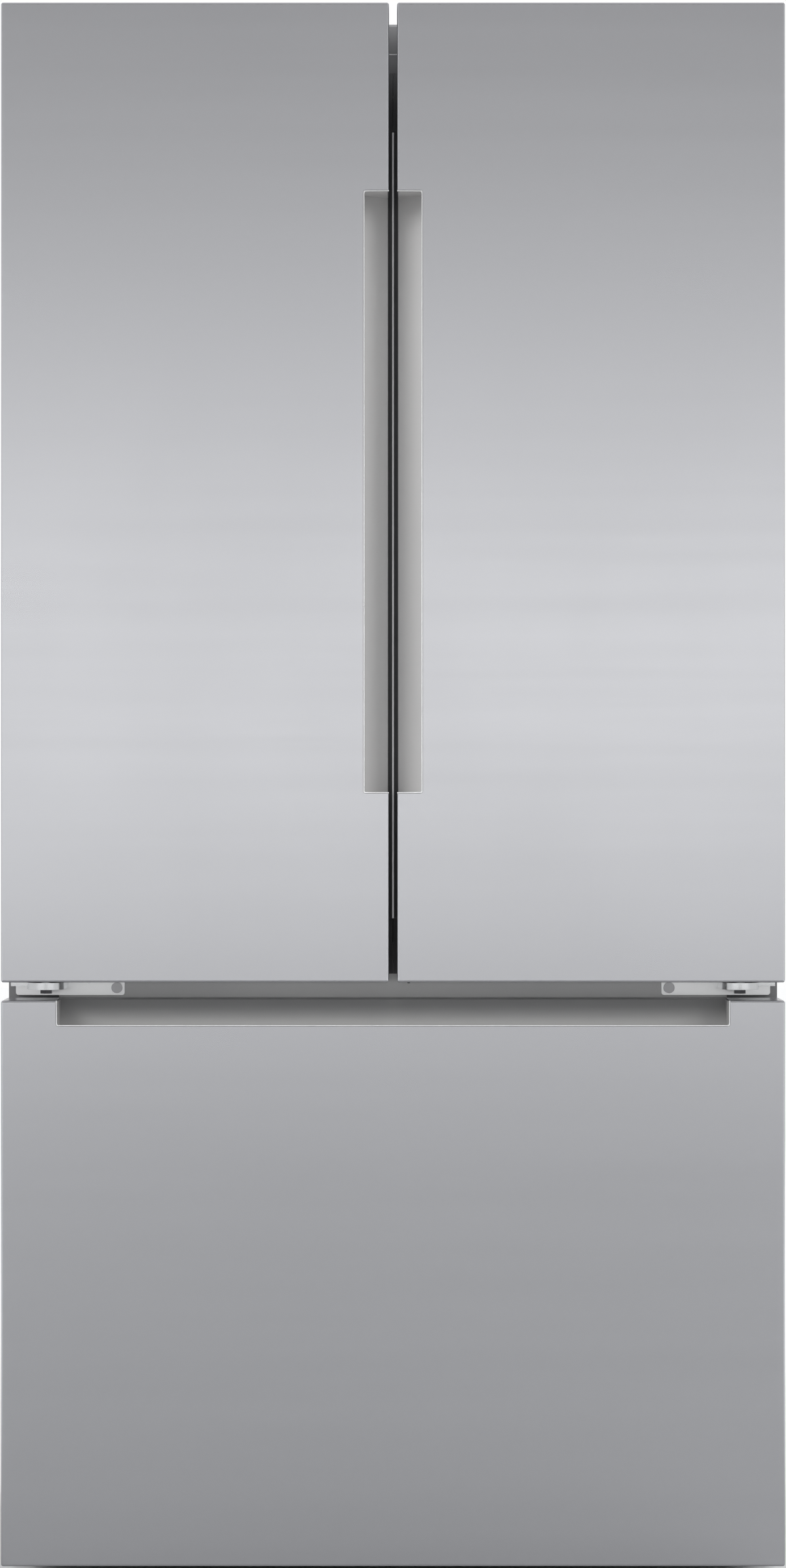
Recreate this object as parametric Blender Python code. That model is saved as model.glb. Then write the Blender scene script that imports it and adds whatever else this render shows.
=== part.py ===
"""French door refrigerator with a bottom freezer drawer.

Metres, +Z up. The origin is on the floor, below the middle of the whole appliance. The doors face -Y,
and +X is on the right of someone who stands in front of them. "Depth" below always means the distance
behind the door fronts, and "u" is the distance of a point from the middle plane, on either side.
"""

import bpy
import bmesh
from math import cos, pi, radians, sin, sqrt
from mathutils import Matrix, Vector

# Overall size
WIDTH = 0.905
DEPTH = 0.724
HEIGHT = 1.829

# Clearances
FIT = 0.0003            # between pieces that touch or fit into each other
RUN = 0.0010            # between pieces that slide past each other

# Doors and drawer front
DOOR_GAP = 0.0093       # between the two doors
FLOOR_GAP = 0.024       # below the drawer front
DRAWER_HEIGHT = 0.653
RAIL_GAP = 0.021        # between the drawer front and the doors
DOOR_DEPTH = 0.093      # front skin to the flange that holds the gasket
SKIN_DEPTH = 0.065      # how far the steel skin turns back round the edges
GASKET_DEPTH = 0.010
LINER_START = 0.055     # depth at which the inner panel's sides begin, inside the skin
SKIN = 0.001
DOOR_EDGE = 0.0025      # radius along the skin's edges
LINER = 0.002           # moulded plastic sheets
SHEET = 0.001           # cabinet steel
CASE_DROP = 0.043       # how far the case stays below the door tops

# Pocket handles
HANDLE_REACH = 0.030    # from the door's edge to the lip
HANDLE_LIP_DEPTH = 0.038
HANDLE_EDGE_DEPTH = 0.060
HANDLE_RIM = 0.0017
HANDLE_CORNER = 0.003
HANDLE_BELOW = 0.218    # from the door's bottom to the pocket
HANDLE_ABOVE = 0.2164   # from the pocket to the door's top
DRAWER_HANDLE_END = 0.0631  # from the drawer front's side to its pocket

# Cabinet openings
SIDE_WALL = 0.0605      # from the case side to the cavity
FRIDGE_SILL = 0.042     # from the door's bottom up to the fridge floor
FRIDGE_HEAD = 0.050     # from the fridge ceiling to the case top
FREEZER_SILL = 0.095    # from the floor to the freezer floor
FREEZER_HEAD = 0.032    # from the freezer ceiling to the drawer's top
BACK_WALL = 0.060
SEAL_START = 0.0008     # from an opening's edge to the gasket's flat
SEAL_FLAT = 0.0105
SEAL_OUTER = 0.017      # slope from the flat out to the gasket's base
SEAL_INNER = 0.0065
MACHINE_HEIGHT = 0.300
MACHINE_DEPTH = 0.235
MACHINE_SLOPE = 0.090
PAN_LEVEL = 0.031       # underside of the base frame

# Hinges
PIN_INSET = 0.0485      # from the door's outer side to the pin axis
PIN_DEPTH = 0.048
PIN_RADIUS = 0.006
ARM_RADIUS = 0.022      # centre hinge arm
ARM_THICK = 0.008
ARM_DROP = 0.002        # from the door's bottom down to the arm
TOP_ARM_RADIUS = 0.012
TOP_ARM_THICK = 0.005
PLATE_THICK = 0.0022    # centre hinge plate

# Interior
DIKE_INSET = 0.020      # from the cavity wall to the door liner's raised frame
DIKE_WIDTH = 0.018
DIKE_DEPTH = 0.125
DIKE_CORNER = 0.006
DIKE_MIDDLE = 0.048     # u of the raised frame on the mullion side
PAN_DEPTH = 0.078
BIN_FRONT = 0.207       # depth of the door bins' far faces
BIN_WALL = 0.0025
BIN_HEIGHT = 0.105
SHELF_THICK = 0.018
DRAWER_TRAVEL = 0.045   # for the drawers inside the fridge, with the doors shut
CRISPER_HEIGHT = 0.180
DELI_HEIGHT = 0.085
TRAY_WALL = 0.0025

# Mullion between the doors
MULLION_WIDTH = 0.050
MULLION_DEPTH = 0.0217
MULLION_PLATE = 0.0010
MULLION_EDGE = 0.0035   # chamfer on its free front edge
PIVOT_RADIUS = 0.003

# Freezer drawer
TRAY_TRAVEL = 0.160
RAIL_HEIGHT = 0.032
TRAY_ROOM = 0.060       # above the tray

# Feet, rollers, fans
FOOT_RADIUS = 0.019
ROLLER_RADIUS = 0.019
FAN_RADIUS = 0.042

# Worked out from the sizes above
FRONT = -DEPTH / 2
CABINET = FRONT + DOOR_DEPTH + GASKET_DEPTH
BACK = DEPTH / 2
HALF = WIDTH / 2
DRAWER_BOTTOM = FLOOR_GAP
DRAWER_TOP = FLOOR_GAP + DRAWER_HEIGHT
DOOR_BOTTOM = DRAWER_TOP + RAIL_GAP
CASE_TOP = HEIGHT - CASE_DROP
OPENING = HALF - SIDE_WALL
FRIDGE_FLOOR = DOOR_BOTTOM + FRIDGE_SILL
FRIDGE_TOP = CASE_TOP - FRIDGE_HEAD
FREEZER_TOP = DRAWER_TOP - FREEZER_HEAD
CAVITY_BACK = BACK - BACK_WALL
INNER_EDGE = DOOR_GAP / 2
PIN_U = HALF - PIN_INSET
PIN_Y = FRONT + PIN_DEPTH
HANDLE_LOW = DOOR_BOTTOM + HANDLE_BELOW
HANDLE_HIGH = HEIGHT - HANDLE_ABOVE
SHELF_FRONT = BIN_FRONT + DRAWER_TRAVEL + 0.006     # depth of the shelves' front edges
FREEZER_SHELF = MACHINE_HEIGHT + 0.035              # freezer floor over the machine room
FREEZER_FLOOR_END = BACK - MACHINE_DEPTH - 0.085    # where the low freezer floor ends
EVAPORATOR_COVER = CAVITY_BACK - 0.095
INNER_PANEL = DOOR_DEPTH + 0.016                    # depth of the drawer's inner panel
SIDES = {"left": -1, "right": 1}

PALETTE = {
    "stainless": ((0.60, 0.605, 0.62), 0.32, 1.0),
    "case_paint": ((0.21, 0.21, 0.215), 0.5, 0.0),
    "zinc": ((0.55, 0.56, 0.57), 0.4, 1.0),
    "chrome": ((0.75, 0.75, 0.76), 0.15, 1.0),
    "liner_white": ((0.80, 0.81, 0.82), 0.35, 0.0),
    "handle_grey": ((0.36, 0.36, 0.37), 0.45, 0.0),
    "gasket": ((0.06, 0.06, 0.065), 0.7, 0.0),
    "clear_bin": ((0.80, 0.85, 0.88), 0.08, 0.0),
    "glass": ((0.78, 0.87, 0.86), 0.03, 0.0),
    "dark_plastic": ((0.03, 0.03, 0.032), 0.5, 0.0),
    "grey_plastic": ((0.22, 0.22, 0.225), 0.5, 0.0),
    "foam": ((0.80, 0.70, 0.42), 0.9, 0.0),
    "aluminium": ((0.72, 0.73, 0.74), 0.4, 1.0),
    "black_steel": ((0.02, 0.02, 0.02), 0.45, 0.0),
}


def paint(name):
    """The named material, made on first use."""
    material = bpy.data.materials.get(name)
    if material is None:
        colour, roughness, metallic = PALETTE[name]
        material = bpy.data.materials.new(name)
        material.use_nodes = True
        shader = material.node_tree.nodes["Principled BSDF"]
        shader.inputs["Base Color"].default_value = (*colour, 1.0)
        shader.inputs["Roughness"].default_value = roughness
        shader.inputs["Metallic"].default_value = metallic
    return material


# ---- Shapes, added to a bmesh ----

def block(bm, x, y, z):
    """A box from three (low, high) pairs."""
    spans = [sorted(pair) for pair in (x, y, z)]
    size = [high - low for low, high in spans]
    middle = [(high + low) / 2 for low, high in spans]
    matrix = Matrix.Translation(middle) @ Matrix.Diagonal((*size, 1.0))
    return bmesh.ops.create_cube(bm, size=1.0, matrix=matrix)["verts"]


def prism(bm, outline, axis, low, high):
    """An outline pushed along an axis. Its points are (y, z) for X, (x, z) for Y and (x, y) for Z."""
    place = {
        "X": lambda a, b: Vector((low, a, b)),
        "Y": lambda a, b: Vector((a, low, b)),
        "Z": lambda a, b: Vector((a, b, low)),
    }[axis]
    step = {"X": Vector((1, 0, 0)), "Y": Vector((0, 1, 0)), "Z": Vector((0, 0, 1))}[axis] * (high - low)
    face = bm.faces.new([bm.verts.new(place(a, b)) for a, b in outline])
    pushed = bmesh.ops.extrude_face_region(bm, geom=[face])["geom"]
    bmesh.ops.translate(bm, vec=step, verts=[item for item in pushed if isinstance(item, bmesh.types.BMVert)])


def cylinder(bm, axis, centre, radius, length, sides=16, tip_radius=None):
    """A round bar, centred on a point, along an axis; a cone where the tip has its own radius."""
    turn = {"X": Matrix.Rotation(pi / 2, 4, "Y"), "Y": Matrix.Rotation(-pi / 2, 4, "X"),
            "Z": Matrix.Identity(4)}
    tip = radius if tip_radius is None else tip_radius
    bmesh.ops.create_cone(bm, cap_ends=True, segments=sides, radius1=radius, radius2=tip, depth=length,
                          matrix=Matrix.Translation(centre) @ turn[axis])


def rounded_rect(a_span, b_span, radius, steps=3):
    """Points round a rectangle, anticlockwise from its lower right corner; steps of 0 gives four points."""
    a0, a1 = sorted(a_span)
    b0, b1 = sorted(b_span)
    if steps == 0:
        return [(a1, b0), (a1, b1), (a0, b1), (a0, b0)]
    points = []
    corners = [(a1 - radius, b0 + radius, -90), (a1 - radius, b1 - radius, 0),
               (a0 + radius, b1 - radius, 90), (a0 + radius, b0 + radius, 180)]
    for centre_a, centre_b, start in corners:
        for step in range(steps + 1):
            angle = radians(start + 90 * step / steps)
            points.append((centre_a + radius * cos(angle), centre_b + radius * sin(angle)))
    return points


def arc(centre, radius, start, end, steps):
    """Points on an arc, angles in degrees."""
    angles = [radians(start + (end - start) * step / steps) for step in range(steps + 1)]
    return [(centre[0] + radius * cos(angle), centre[1] + radius * sin(angle)) for angle in angles]


def loft(bm, loops, fill_last=False, closed=False):
    """A skin through loops of 3-D points. It can be filled at its last loop, or closed back on its first."""
    rings = [[bm.verts.new(point) for point in loop] for loop in loops]
    pairs = list(zip(rings, rings[1:]))
    if closed:
        pairs.append((rings[-1], rings[0]))
    for first, second in pairs:
        for i in range(len(first)):
            j = (i + 1) % len(first)
            bm.faces.new((first[i], first[j], second[j], second[i]))
    if fill_last:
        bm.faces.new(rings[-1])


def facing(bm, direction):
    """Turn an open skin so that its largest flat face looks along a direction."""
    bm.normal_update()
    largest = max(bm.faces, key=lambda face: face.calc_area())
    if largest.normal.dot(Vector(direction)) < 0:
        bmesh.ops.reverse_faces(bm, faces=bm.faces[:])


def offset_outline(outline, distance):
    """A closed outline moved outwards by a distance, its corners kept sharp; it runs anticlockwise."""
    moved = []
    for i, point in enumerate(outline):
        here = Vector(point)
        before = (here - Vector(outline[i - 1])).normalized()
        after = (Vector(outline[(i + 1) % len(outline)]) - here).normalized()
        normal_before = Vector((before.y, -before.x))
        normal_after = Vector((after.y, -after.x))
        mitre = (normal_before + normal_after).normalized()
        moved.append(tuple(here + mitre * distance / mitre.dot(normal_after)))
    return moved


# ---- Objects ----

def add_object(name, bm):
    mesh = bpy.data.meshes.new(name)
    bm.to_mesh(mesh)
    bm.free()
    obj = bpy.data.objects.new(name, mesh)
    bpy.context.scene.collection.objects.link(obj)
    return obj


def solid(name, build, colour):
    """A piece from closed shapes that one function adds to a bmesh."""
    bm = bmesh.new()
    build(bm)
    bmesh.ops.recalc_face_normals(bm, faces=bm.faces[:])
    obj = add_object(name, bm)
    obj.data.materials.append(paint(colour))
    return obj


def sheet(name, build, wall, towards, colour):
    """A piece of even thickness, built from its visible side, which looks towards a direction."""
    bm = bmesh.new()
    build(bm)
    bmesh.ops.recalc_face_normals(bm, faces=bm.faces[:])
    facing(bm, towards)
    return thicken(add_object(name, bm), wall, colour)


def thicken(obj, wall, colour):
    """Give an open skin its wall, on the side that its faces look away from."""
    obj.data.materials.append(paint(colour))
    modifier = obj.modifiers.new("wall", "SOLIDIFY")
    modifier.solidify_mode = "NON_MANIFOLD"
    modifier.nonmanifold_thickness_mode = "CONSTRAINTS"
    modifier.thickness = wall
    modifier.offset = -1.0
    return obj


def tool_shape(name, build):
    bm = bmesh.new()
    build(bm)
    bmesh.ops.recalc_face_normals(bm, faces=bm.faces[:])
    obj = add_object(name, bm)
    obj.hide_render = True
    obj.display_type = "WIRE"
    return obj


def combine(target, operation, *builders):
    """Cut shapes from an object, or join them to it, in order."""
    for build in builders:
        modifier = target.modifiers.new(operation.lower(), "BOOLEAN")
        modifier.operation = operation
        modifier.solver = "EXACT"
        modifier.object = tool_shape(f"{target.name}_tool_{len(target.modifiers)}", build)
    return target


def cut(target, *builders):
    return combine(target, "DIFFERENCE", *builders)


def join(target, *builders):
    return combine(target, "UNION", *builders)


def depth(distance):
    return FRONT + distance


def rect_loop(x, z, y, radius=0.0, steps=0):
    """A loop of points round an upright rectangle at one y."""
    return [(a, y, b) for a, b in rounded_rect(x, z, radius, steps)]


def level_loop(x, y, z, radius=0.0, steps=0):
    """A loop of points round a level rectangle at one z."""
    return [(a, b, z) for a, b in rounded_rect(x, y, radius, steps)]


def side_span(side, u0, u1):
    return (side * u0, side * u1)


# ---- Cabinet ----

def cabinet_shell():
    """Painted steel wrapper: sides, top and the flange round the front."""
    lip = OPENING + FIT * 5

    def walls(bm):
        u, top = HALF - SHEET, CASE_TOP - SHEET
        outline = [(-HALF, PAN_LEVEL), (-u, PAN_LEVEL), (-u, top), (u, top), (u, PAN_LEVEL),
                   (HALF, PAN_LEVEL),
                   (HALF, CASE_TOP), (-HALF, CASE_TOP)]
        prism(bm, outline, "Y", CABINET, BACK)

    def flange(bm):
        low, high = PAN_LEVEL, FRIDGE_TOP + FIT * 5
        outline = [(-HALF, low), (-lip, low), (-lip, high), (lip, high), (lip, low), (HALF, low),
                   (HALF, CASE_TOP), (-HALF, CASE_TOP)]
        prism(bm, outline, "Y", CABINET, CABINET + SHEET)

    join(solid("outer_wrapper", walls, "case_paint"), flange)


def back_panel():
    def plate(bm):
        block(bm, (-HALF + SHEET + FIT, HALF - SHEET - FIT), (BACK - 0.012, BACK - 0.012 + SHEET),
              (MACHINE_HEIGHT + 0.010, CASE_TOP - SHEET - FIT))

    solid("back_panel", plate, "zinc")


def freezer_outline():
    """The freezer cavity seen from the side, (y, z), anticlockwise, over the step for the compressor."""
    start = CABINET + SHEET + FIT
    return [(start, FREEZER_SILL), (FREEZER_FLOOR_END, FREEZER_SILL),
            (FREEZER_FLOOR_END + MACHINE_SLOPE, FREEZER_SHELF), (CAVITY_BACK, FREEZER_SHELF),
            (CAVITY_BACK, FREEZER_TOP), (start, FREEZER_TOP)]


def fridge_liner():
    """White moulded cavity with a flange behind the cabinet's front."""
    y = CABINET + SHEET + FIT
    draft = 0.004

    def skin(bm):
        loft(bm, [
            rect_loop((-OPENING - 0.022, OPENING + 0.022), (FRIDGE_FLOOR - 0.018, FRIDGE_TOP + 0.022), y,
                      0.026, 3),
            rect_loop((-OPENING, OPENING), (FRIDGE_FLOOR, FRIDGE_TOP), y, 0.004, 3),
            rect_loop((-OPENING + draft, OPENING - draft), (FRIDGE_FLOOR, FRIDGE_TOP), CAVITY_BACK, 0.012, 3),
        ], fill_last=True)

    liner = sheet("fridge_liner", skin, LINER, (0, -1, 0), "liner_white")

    def pivot_holes(bm):
        for z in (FRIDGE_FLOOR, FRIDGE_TOP):
            cylinder(bm, "Z", (*mullion_axis(), z), PIVOT_RADIUS + FIT, 0.012, 12)

    cut(liner, pivot_holes)


def freezer_liner():
    outline = freezer_outline()
    y = CABINET + SHEET + FIT

    def skin(bm):
        left = [bm.verts.new((-OPENING, a, b)) for a, b in outline]
        right = [bm.verts.new((OPENING, a, b)) for a, b in outline]
        count = len(outline)
        for i in range(count - 1):
            bm.faces.new((left[i], left[i + 1], right[i + 1], right[i]))
        bm.faces.new(left)
        bm.faces.new(right)
        rim = [left[0], right[0], right[-1], left[-1]]
        outer = [(-OPENING - 0.022, FREEZER_SILL - 0.022), (OPENING + 0.022, FREEZER_SILL - 0.022),
                 (OPENING + 0.022, FREEZER_TOP + 0.018), (-OPENING - 0.022, FREEZER_TOP + 0.018)]
        flange = [bm.verts.new((a, y, b)) for a, b in outer]
        for i in range(4):
            j = (i + 1) % 4
            bm.faces.new((rim[i], rim[j], flange[j], flange[i]))

    # The two side walls are the largest faces; the left one looks into the cavity.
    bm = bmesh.new()
    skin(bm)
    bmesh.ops.recalc_face_normals(bm, faces=bm.faces[:])
    bm.normal_update()
    left_wall = min(bm.faces, key=lambda face: face.calc_center_median().x - face.calc_area())
    if left_wall.normal.x < 0:
        bmesh.ops.reverse_faces(bm, faces=bm.faces[:])
    thicken(add_object("freezer_liner", bm), LINER, "liner_white")


def insulation_foam():
    """Foam poured between the wrapper and the two liners."""
    inset = SHEET + FIT
    clear = LINER + FIT
    start = CABINET + SHEET + FIT + LINER + FIT
    step = BACK - MACHINE_DEPTH

    def body(bm):
        outline = [(start, PAN_LEVEL + 0.034), (step, PAN_LEVEL + 0.034),
                   (step + MACHINE_SLOPE, MACHINE_HEIGHT),
                   (BACK - 0.012 - FIT, MACHINE_HEIGHT), (BACK - 0.012 - FIT, CASE_TOP - inset),
                   (start, CASE_TOP - inset)]
        prism(bm, outline, "X", -HALF + inset, HALF - inset)

    def fridge_space(bm):
        block(bm, (-OPENING - clear, OPENING + clear), (CABINET, CAVITY_BACK + clear),
              (FRIDGE_FLOOR - clear, FRIDGE_TOP + clear))

    def freezer_space(bm):
        outline = offset_outline(freezer_outline(), clear)
        outline[0] = (CABINET, outline[0][1])
        outline[-1] = (CABINET, outline[-1][1])
        prism(bm, outline, "X", -OPENING - clear, OPENING + clear)

    def rail_space(bm):
        z = rail_legs()
        block(bm, (-HALF, HALF), (CABINET, CABINET + 0.024), (z[0] - SHEET - FIT, z[1] + SHEET + FIT))

    def pivot_space(bm):
        for z in (FRIDGE_FLOOR, FRIDGE_TOP):
            cylinder(bm, "Z", (*mullion_axis(), z), PIVOT_RADIUS + FIT * 2, 0.024, 12)

    cut(solid("insulation_foam", body, "foam"), fridge_space, freezer_space, rail_space, pivot_space)


def rail_legs():
    """Heights of the cross rail's two legs, clear of both liner flanges."""
    return (FREEZER_TOP + 0.024, FRIDGE_FLOOR - 0.024)


def cross_rail():
    """Steel rail between the doors and the drawer, folded back twice for stiffness."""
    low, high = FREEZER_TOP + FIT * 5, FRIDGE_FLOOR - FIT * 5
    leg_low, leg_high = rail_legs()
    front, inside, end = CABINET, CABINET + SHEET, CABINET + 0.022
    outline = [(front, low), (inside, low), (inside, leg_low - SHEET), (end, leg_low - SHEET), (end, leg_low),
               (inside, leg_low), (inside, leg_high), (end, leg_high), (end, leg_high + SHEET),
               (inside, leg_high + SHEET), (inside, high), (front, high)]
    half = OPENING + FIT * 5 - FIT

    solid("cross_rail", lambda bm: prism(bm, outline, "X", -half, half), "case_paint")


def foot_places():
    return (HALF - 0.060, FRONT + 0.150)


def roller_places():
    return (HALF - 0.060, BACK - 0.060)


def base_frame():
    """Folded steel pan under the case, with the cheeks of the rear rollers."""
    thick = 0.0015
    low, high = PAN_LEVEL + 0.0005, FREEZER_SILL - FIT * 5
    outline = [(CABINET, low), (BACK - 0.016, low), (BACK - 0.016, low + 0.018),
               (BACK - 0.016 - thick, low + 0.018),
               (BACK - 0.016 - thick, low + thick), (CABINET + thick, low + thick),
               (CABINET + thick, high - 0.030),
               (CABINET + SHEET, high - 0.030), (CABINET + SHEET, high), (CABINET, high)]
    half = HALF - SHEET - FIT
    front_half = OPENING + FIT * 4
    roller_u, roller_y = roller_places()
    foot_u, foot_y = foot_places()
    slot = ROLLER_RADIUS + 0.003

    def narrow_front(bm):
        for side in SIDES.values():
            block(bm, side_span(side, front_half, HALF + 0.01), (CABINET - 0.001, CABINET + SHEET + FIT),
                  (PAN_LEVEL - 0.001, high + 0.001))

    def openings(bm):
        for side in SIDES.values():
            cylinder(bm, "Z", (side * foot_u, foot_y, low), 0.005 + FIT, 0.02, 16)
            block(bm, side_span(side, roller_u - 0.0125, roller_u + 0.0125),
                  (roller_y - slot, roller_y + slot),
                  (low - 0.01, low + 0.01))

    def cheeks(bm):
        for side in SIDES.values():
            for u in (roller_u - 0.0155, roller_u + 0.0125):
                outline = [(roller_y - 0.016, low + 0.0005), (roller_y - 0.006, 0.009),
                           (roller_y + 0.006, 0.009),
                           (roller_y + 0.016, low + 0.0005)]
                prism(bm, outline, "X", *sorted(side_span(side, u, u + 0.003)))

    def axle_holes(bm):
        for side in SIDES.values():
            cylinder(bm, "X", (side * roller_u, roller_y, ROLLER_RADIUS), 0.004 + FIT, 0.040, 12)

    frame = solid("base_frame", lambda bm: prism(bm, outline, "X", -half, half), "zinc")
    cut(frame, narrow_front, openings)
    join(frame, cheeks)
    cut(frame, axle_holes)


def top_cover():
    """Plastic cover on the case top, over the wiring and the hinge plates, with a slot for each hinge arm."""
    y0, y1 = CABINET + 0.004, CABINET + 0.150
    z0, z1 = CASE_TOP + FIT, HEIGHT - 0.006
    half = HALF - 0.012

    def skin(bm):
        loft(bm, [level_loop((-half, half), (y0, y1), z0, 0.006, 2),
                  level_loop((-half, half), (y0, y1), z1 - 0.003, 0.006, 2),
                  level_loop((-half + 0.003, half - 0.003), (y0 + 0.003, y1 - 0.003), z1, 0.004, 2)],
                  fill_last=True)

    def slots(bm):
        for side in SIDES.values():
            block(bm, side_span(side, PIN_U - 0.040, PIN_U + 0.018), (y0 - 0.01, y0 + 0.01),
                  (CASE_TOP - 0.01, CASE_TOP + 0.014))

    cut(sheet("top_cover", skin, 0.002, (0, 0, 1), "grey_plastic"), slots)


def top_hinge(name, side):
    """Steel plate on the case top, a cranked arm, and a pin that points down into the door."""
    plate_low = CASE_TOP + FIT
    arm_low = plate_low + 0.003
    arm_high = arm_low + TOP_ARM_THICK
    root_u, root_y = PIN_U - 0.020, CABINET + 0.012
    pin = Vector((side * PIN_U, PIN_Y))
    root = Vector((side * root_u, root_y))
    along = (root - pin).normalized()
    across = Vector((-along.y, along.x)) * TOP_ARM_RADIUS

    def arm(bm):
        angle = Vector((1, 0)).angle_signed(across)
        points = [tuple(pin + Matrix.Rotation(-angle + pi * step / 8, 2) @ Vector((TOP_ARM_RADIUS, 0)))
                  for step in range(9)]
        prism(bm, points + [tuple(root + along * 0.02 - across), tuple(root + along * 0.02 + across)], "Z",
              arm_low, arm_high)

    def plate(bm):
        block(bm, side_span(side, root_u - 0.055, root_u + 0.028), (CABINET + 0.010, CABINET + 0.090),
              (plate_low, arm_low + 0.001))

    def pin_bar(bm):
        low = CASE_TOP - 0.010
        cylinder(bm, "Z", (pin.x, pin.y, (low + arm_low) / 2 + 0.001), PIN_RADIUS, arm_low - low + 0.002, 16)

    def screws(bm):
        for u, y in ((root_u - 0.040, 0.030), (root_u - 0.040, 0.070), (root_u + 0.016, 0.070)):
            cylinder(bm, "Z", (side * u, CABINET + y, arm_low + 0.002), 0.005, 0.004, 10)

    join(solid(name, arm, "zinc"), plate, pin_bar, screws)


def centre_hinge(name, side):
    """Plate screwed to the cross rail, and an arm whose pin carries the door's weight."""
    plate_back = CABINET - FIT
    plate_front = plate_back - PLATE_THICK
    arm_high = DOOR_BOTTOM - ARM_DROP
    arm_low = arm_high - ARM_THICK
    plate_in, plate_out = PIN_U - 0.088, PIN_U + 0.040
    plate_low, plate_high = DRAWER_TOP + 0.0016, DOOR_BOTTOM - 0.001

    def plate(bm):
        outline = rounded_rect(side_span(side, plate_in, plate_out), (plate_low, plate_high), 0.003, 3)
        prism(bm, outline, "Y", plate_front, plate_back)

    def arm(bm):
        outline = arc((side * PIN_U, PIN_Y), ARM_RADIUS, 180, 360, 14)
        outline += [(side * PIN_U + ARM_RADIUS, plate_back - 0.001),
                    (side * PIN_U - ARM_RADIUS, plate_back - 0.001)]
        prism(bm, outline, "Z", arm_low, arm_high)

    def pin_bar(bm):
        high = DOOR_BOTTOM + 0.014
        cylinder(bm, "Z", (side * PIN_U, PIN_Y, (arm_high + high) / 2 - 0.001), PIN_RADIUS,
                 high - arm_high + 0.002, 16)

    def nut(bm):
        cylinder(bm, "Z", (side * PIN_U, PIN_Y, arm_low - 0.0025 + 0.0005), 0.0075, 0.006, 6)

    def bolt(bm):
        middle = (plate_low + DOOR_BOTTOM - ARM_DROP) / 2
        cylinder(bm, "Y", (side * (plate_in + 0.009), plate_front - 0.0015, middle), 0.0065, 0.005, 16)

    def stop_block(bm):
        block(bm, side_span(side, PIN_U + ARM_RADIUS - 0.001, PIN_U + 0.044),
              (PIN_Y + 0.032, plate_back - 0.001),
              (arm_low + 0.002, arm_high + 0.0008))

    join(solid(name, plate, "chrome"), arm, pin_bar, nut, bolt, stop_block)


# ---- Inside the fridge ----

def shelf_levels():
    """Undersides of the crisper cover, the wide shelf and the two upper shelves."""
    crisper = FRIDGE_FLOOR + 0.010 + CRISPER_HEIGHT + 0.008
    deli = crisper + SHELF_THICK + RUN * 2 + DELI_HEIGHT + 0.008
    upper = deli + (FRIDGE_TOP - deli) * 0.5
    return crisper, deli, upper


def shelf(name, x, level):
    """Tempered glass in a moulded frame, seated on ribs at its two ends."""
    y = (depth(SHELF_FRONT), CAVITY_BACK - 0.032)

    def frame(bm):
        block(bm, x, y, (level, level + SHELF_THICK))

    def light(bm):
        inner_x = (min(x) + 0.012, max(x) - 0.012)
        block(bm, inner_x, (y[0] + 0.010, y[1] - 0.010), (level - 0.01, level + SHELF_THICK - 0.006))

    cut(solid(name, frame, "glass"), light)


def shelves():
    crisper, deli, upper = shelf_levels()
    wide = (-OPENING + LINER * 2.2, OPENING - LINER * 2.2)
    shelf("crisper_cover", wide, crisper)
    shelf("wide_shelf", wide, deli)
    shelf("left_upper_shelf", (wide[0], -0.004), upper)
    shelf("right_upper_shelf", (0.004, wide[1]), upper)


def pull_out(name, x, y, z, colour, lip=0.010):
    """An open drawer: tapered walls, a rolled rim and a grip along the front."""
    taper = 0.006

    def skin(bm):
        x0, x1 = sorted(x)
        loft(bm, [level_loop((x0, x1), y, z[1], 0.008, 2),
                  level_loop((x0 + lip / 2, x1 - lip / 2), (y[0] + 0.004, y[1] - 0.004), z[1], 0.008, 2),
                  level_loop((x0 + lip / 2 + taper, x1 - lip / 2 - taper), (y[0] + 0.010, y[1] - 0.010),
                             z[0] + TRAY_WALL, 0.014, 2)], fill_last=True)

    return sheet(name, skin, TRAY_WALL, (0, 0, 1), colour)


def fridge_drawers():
    """Two crispers on the fridge floor and a flat drawer under the wide shelf."""
    crisper = shelf_levels()[0]
    y = (depth(SHELF_FRONT + 0.004), CAVITY_BACK - 0.060)
    base = FRIDGE_FLOOR + FIT * 2
    for word, side in SIDES.items():
        pull_out(f"{word}_crisper", side_span(side, 0.004, OPENING - 0.008), y,
                 (base, base + CRISPER_HEIGHT), "clear_bin")
    level = crisper + SHELF_THICK + FIT * 2
    pull_out("deli_drawer", (-OPENING + 0.008, OPENING - 0.008), y, (level, level + DELI_HEIGHT), "clear_bin")


def air_duct_cover():
    """Moulded panel on the rear wall, with air slots, from above the crispers to the ceiling."""
    crisper, deli, upper = shelf_levels()
    low, high = crisper + SHELF_THICK + 0.01, FRIDGE_TOP - 0.012
    y1 = CAVITY_BACK - FIT * 2
    half = 0.150

    def skin(bm):
        loft(bm, [rect_loop((-half, half), (low, high), y1, 0.010, 3),
                  rect_loop((-half, half), (low, high), y1 - 0.014, 0.010, 3),
                  rect_loop((-half + 0.008, half - 0.008), (low + 0.008, high - 0.008), y1 - 0.022, 0.008,
                            3)],
             fill_last=True)

    def slots(bm):
        for base in (deli + 0.12, upper + 0.12):
            for row in range(3):
                z = base + row * 0.018
                block(bm, (-0.070, 0.070), (y1 - 0.030, y1 - 0.012), (z, z + 0.007))

    cut(sheet("air_duct_cover", skin, LINER, (0, -1, 0), "liner_white"), slots)


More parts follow.
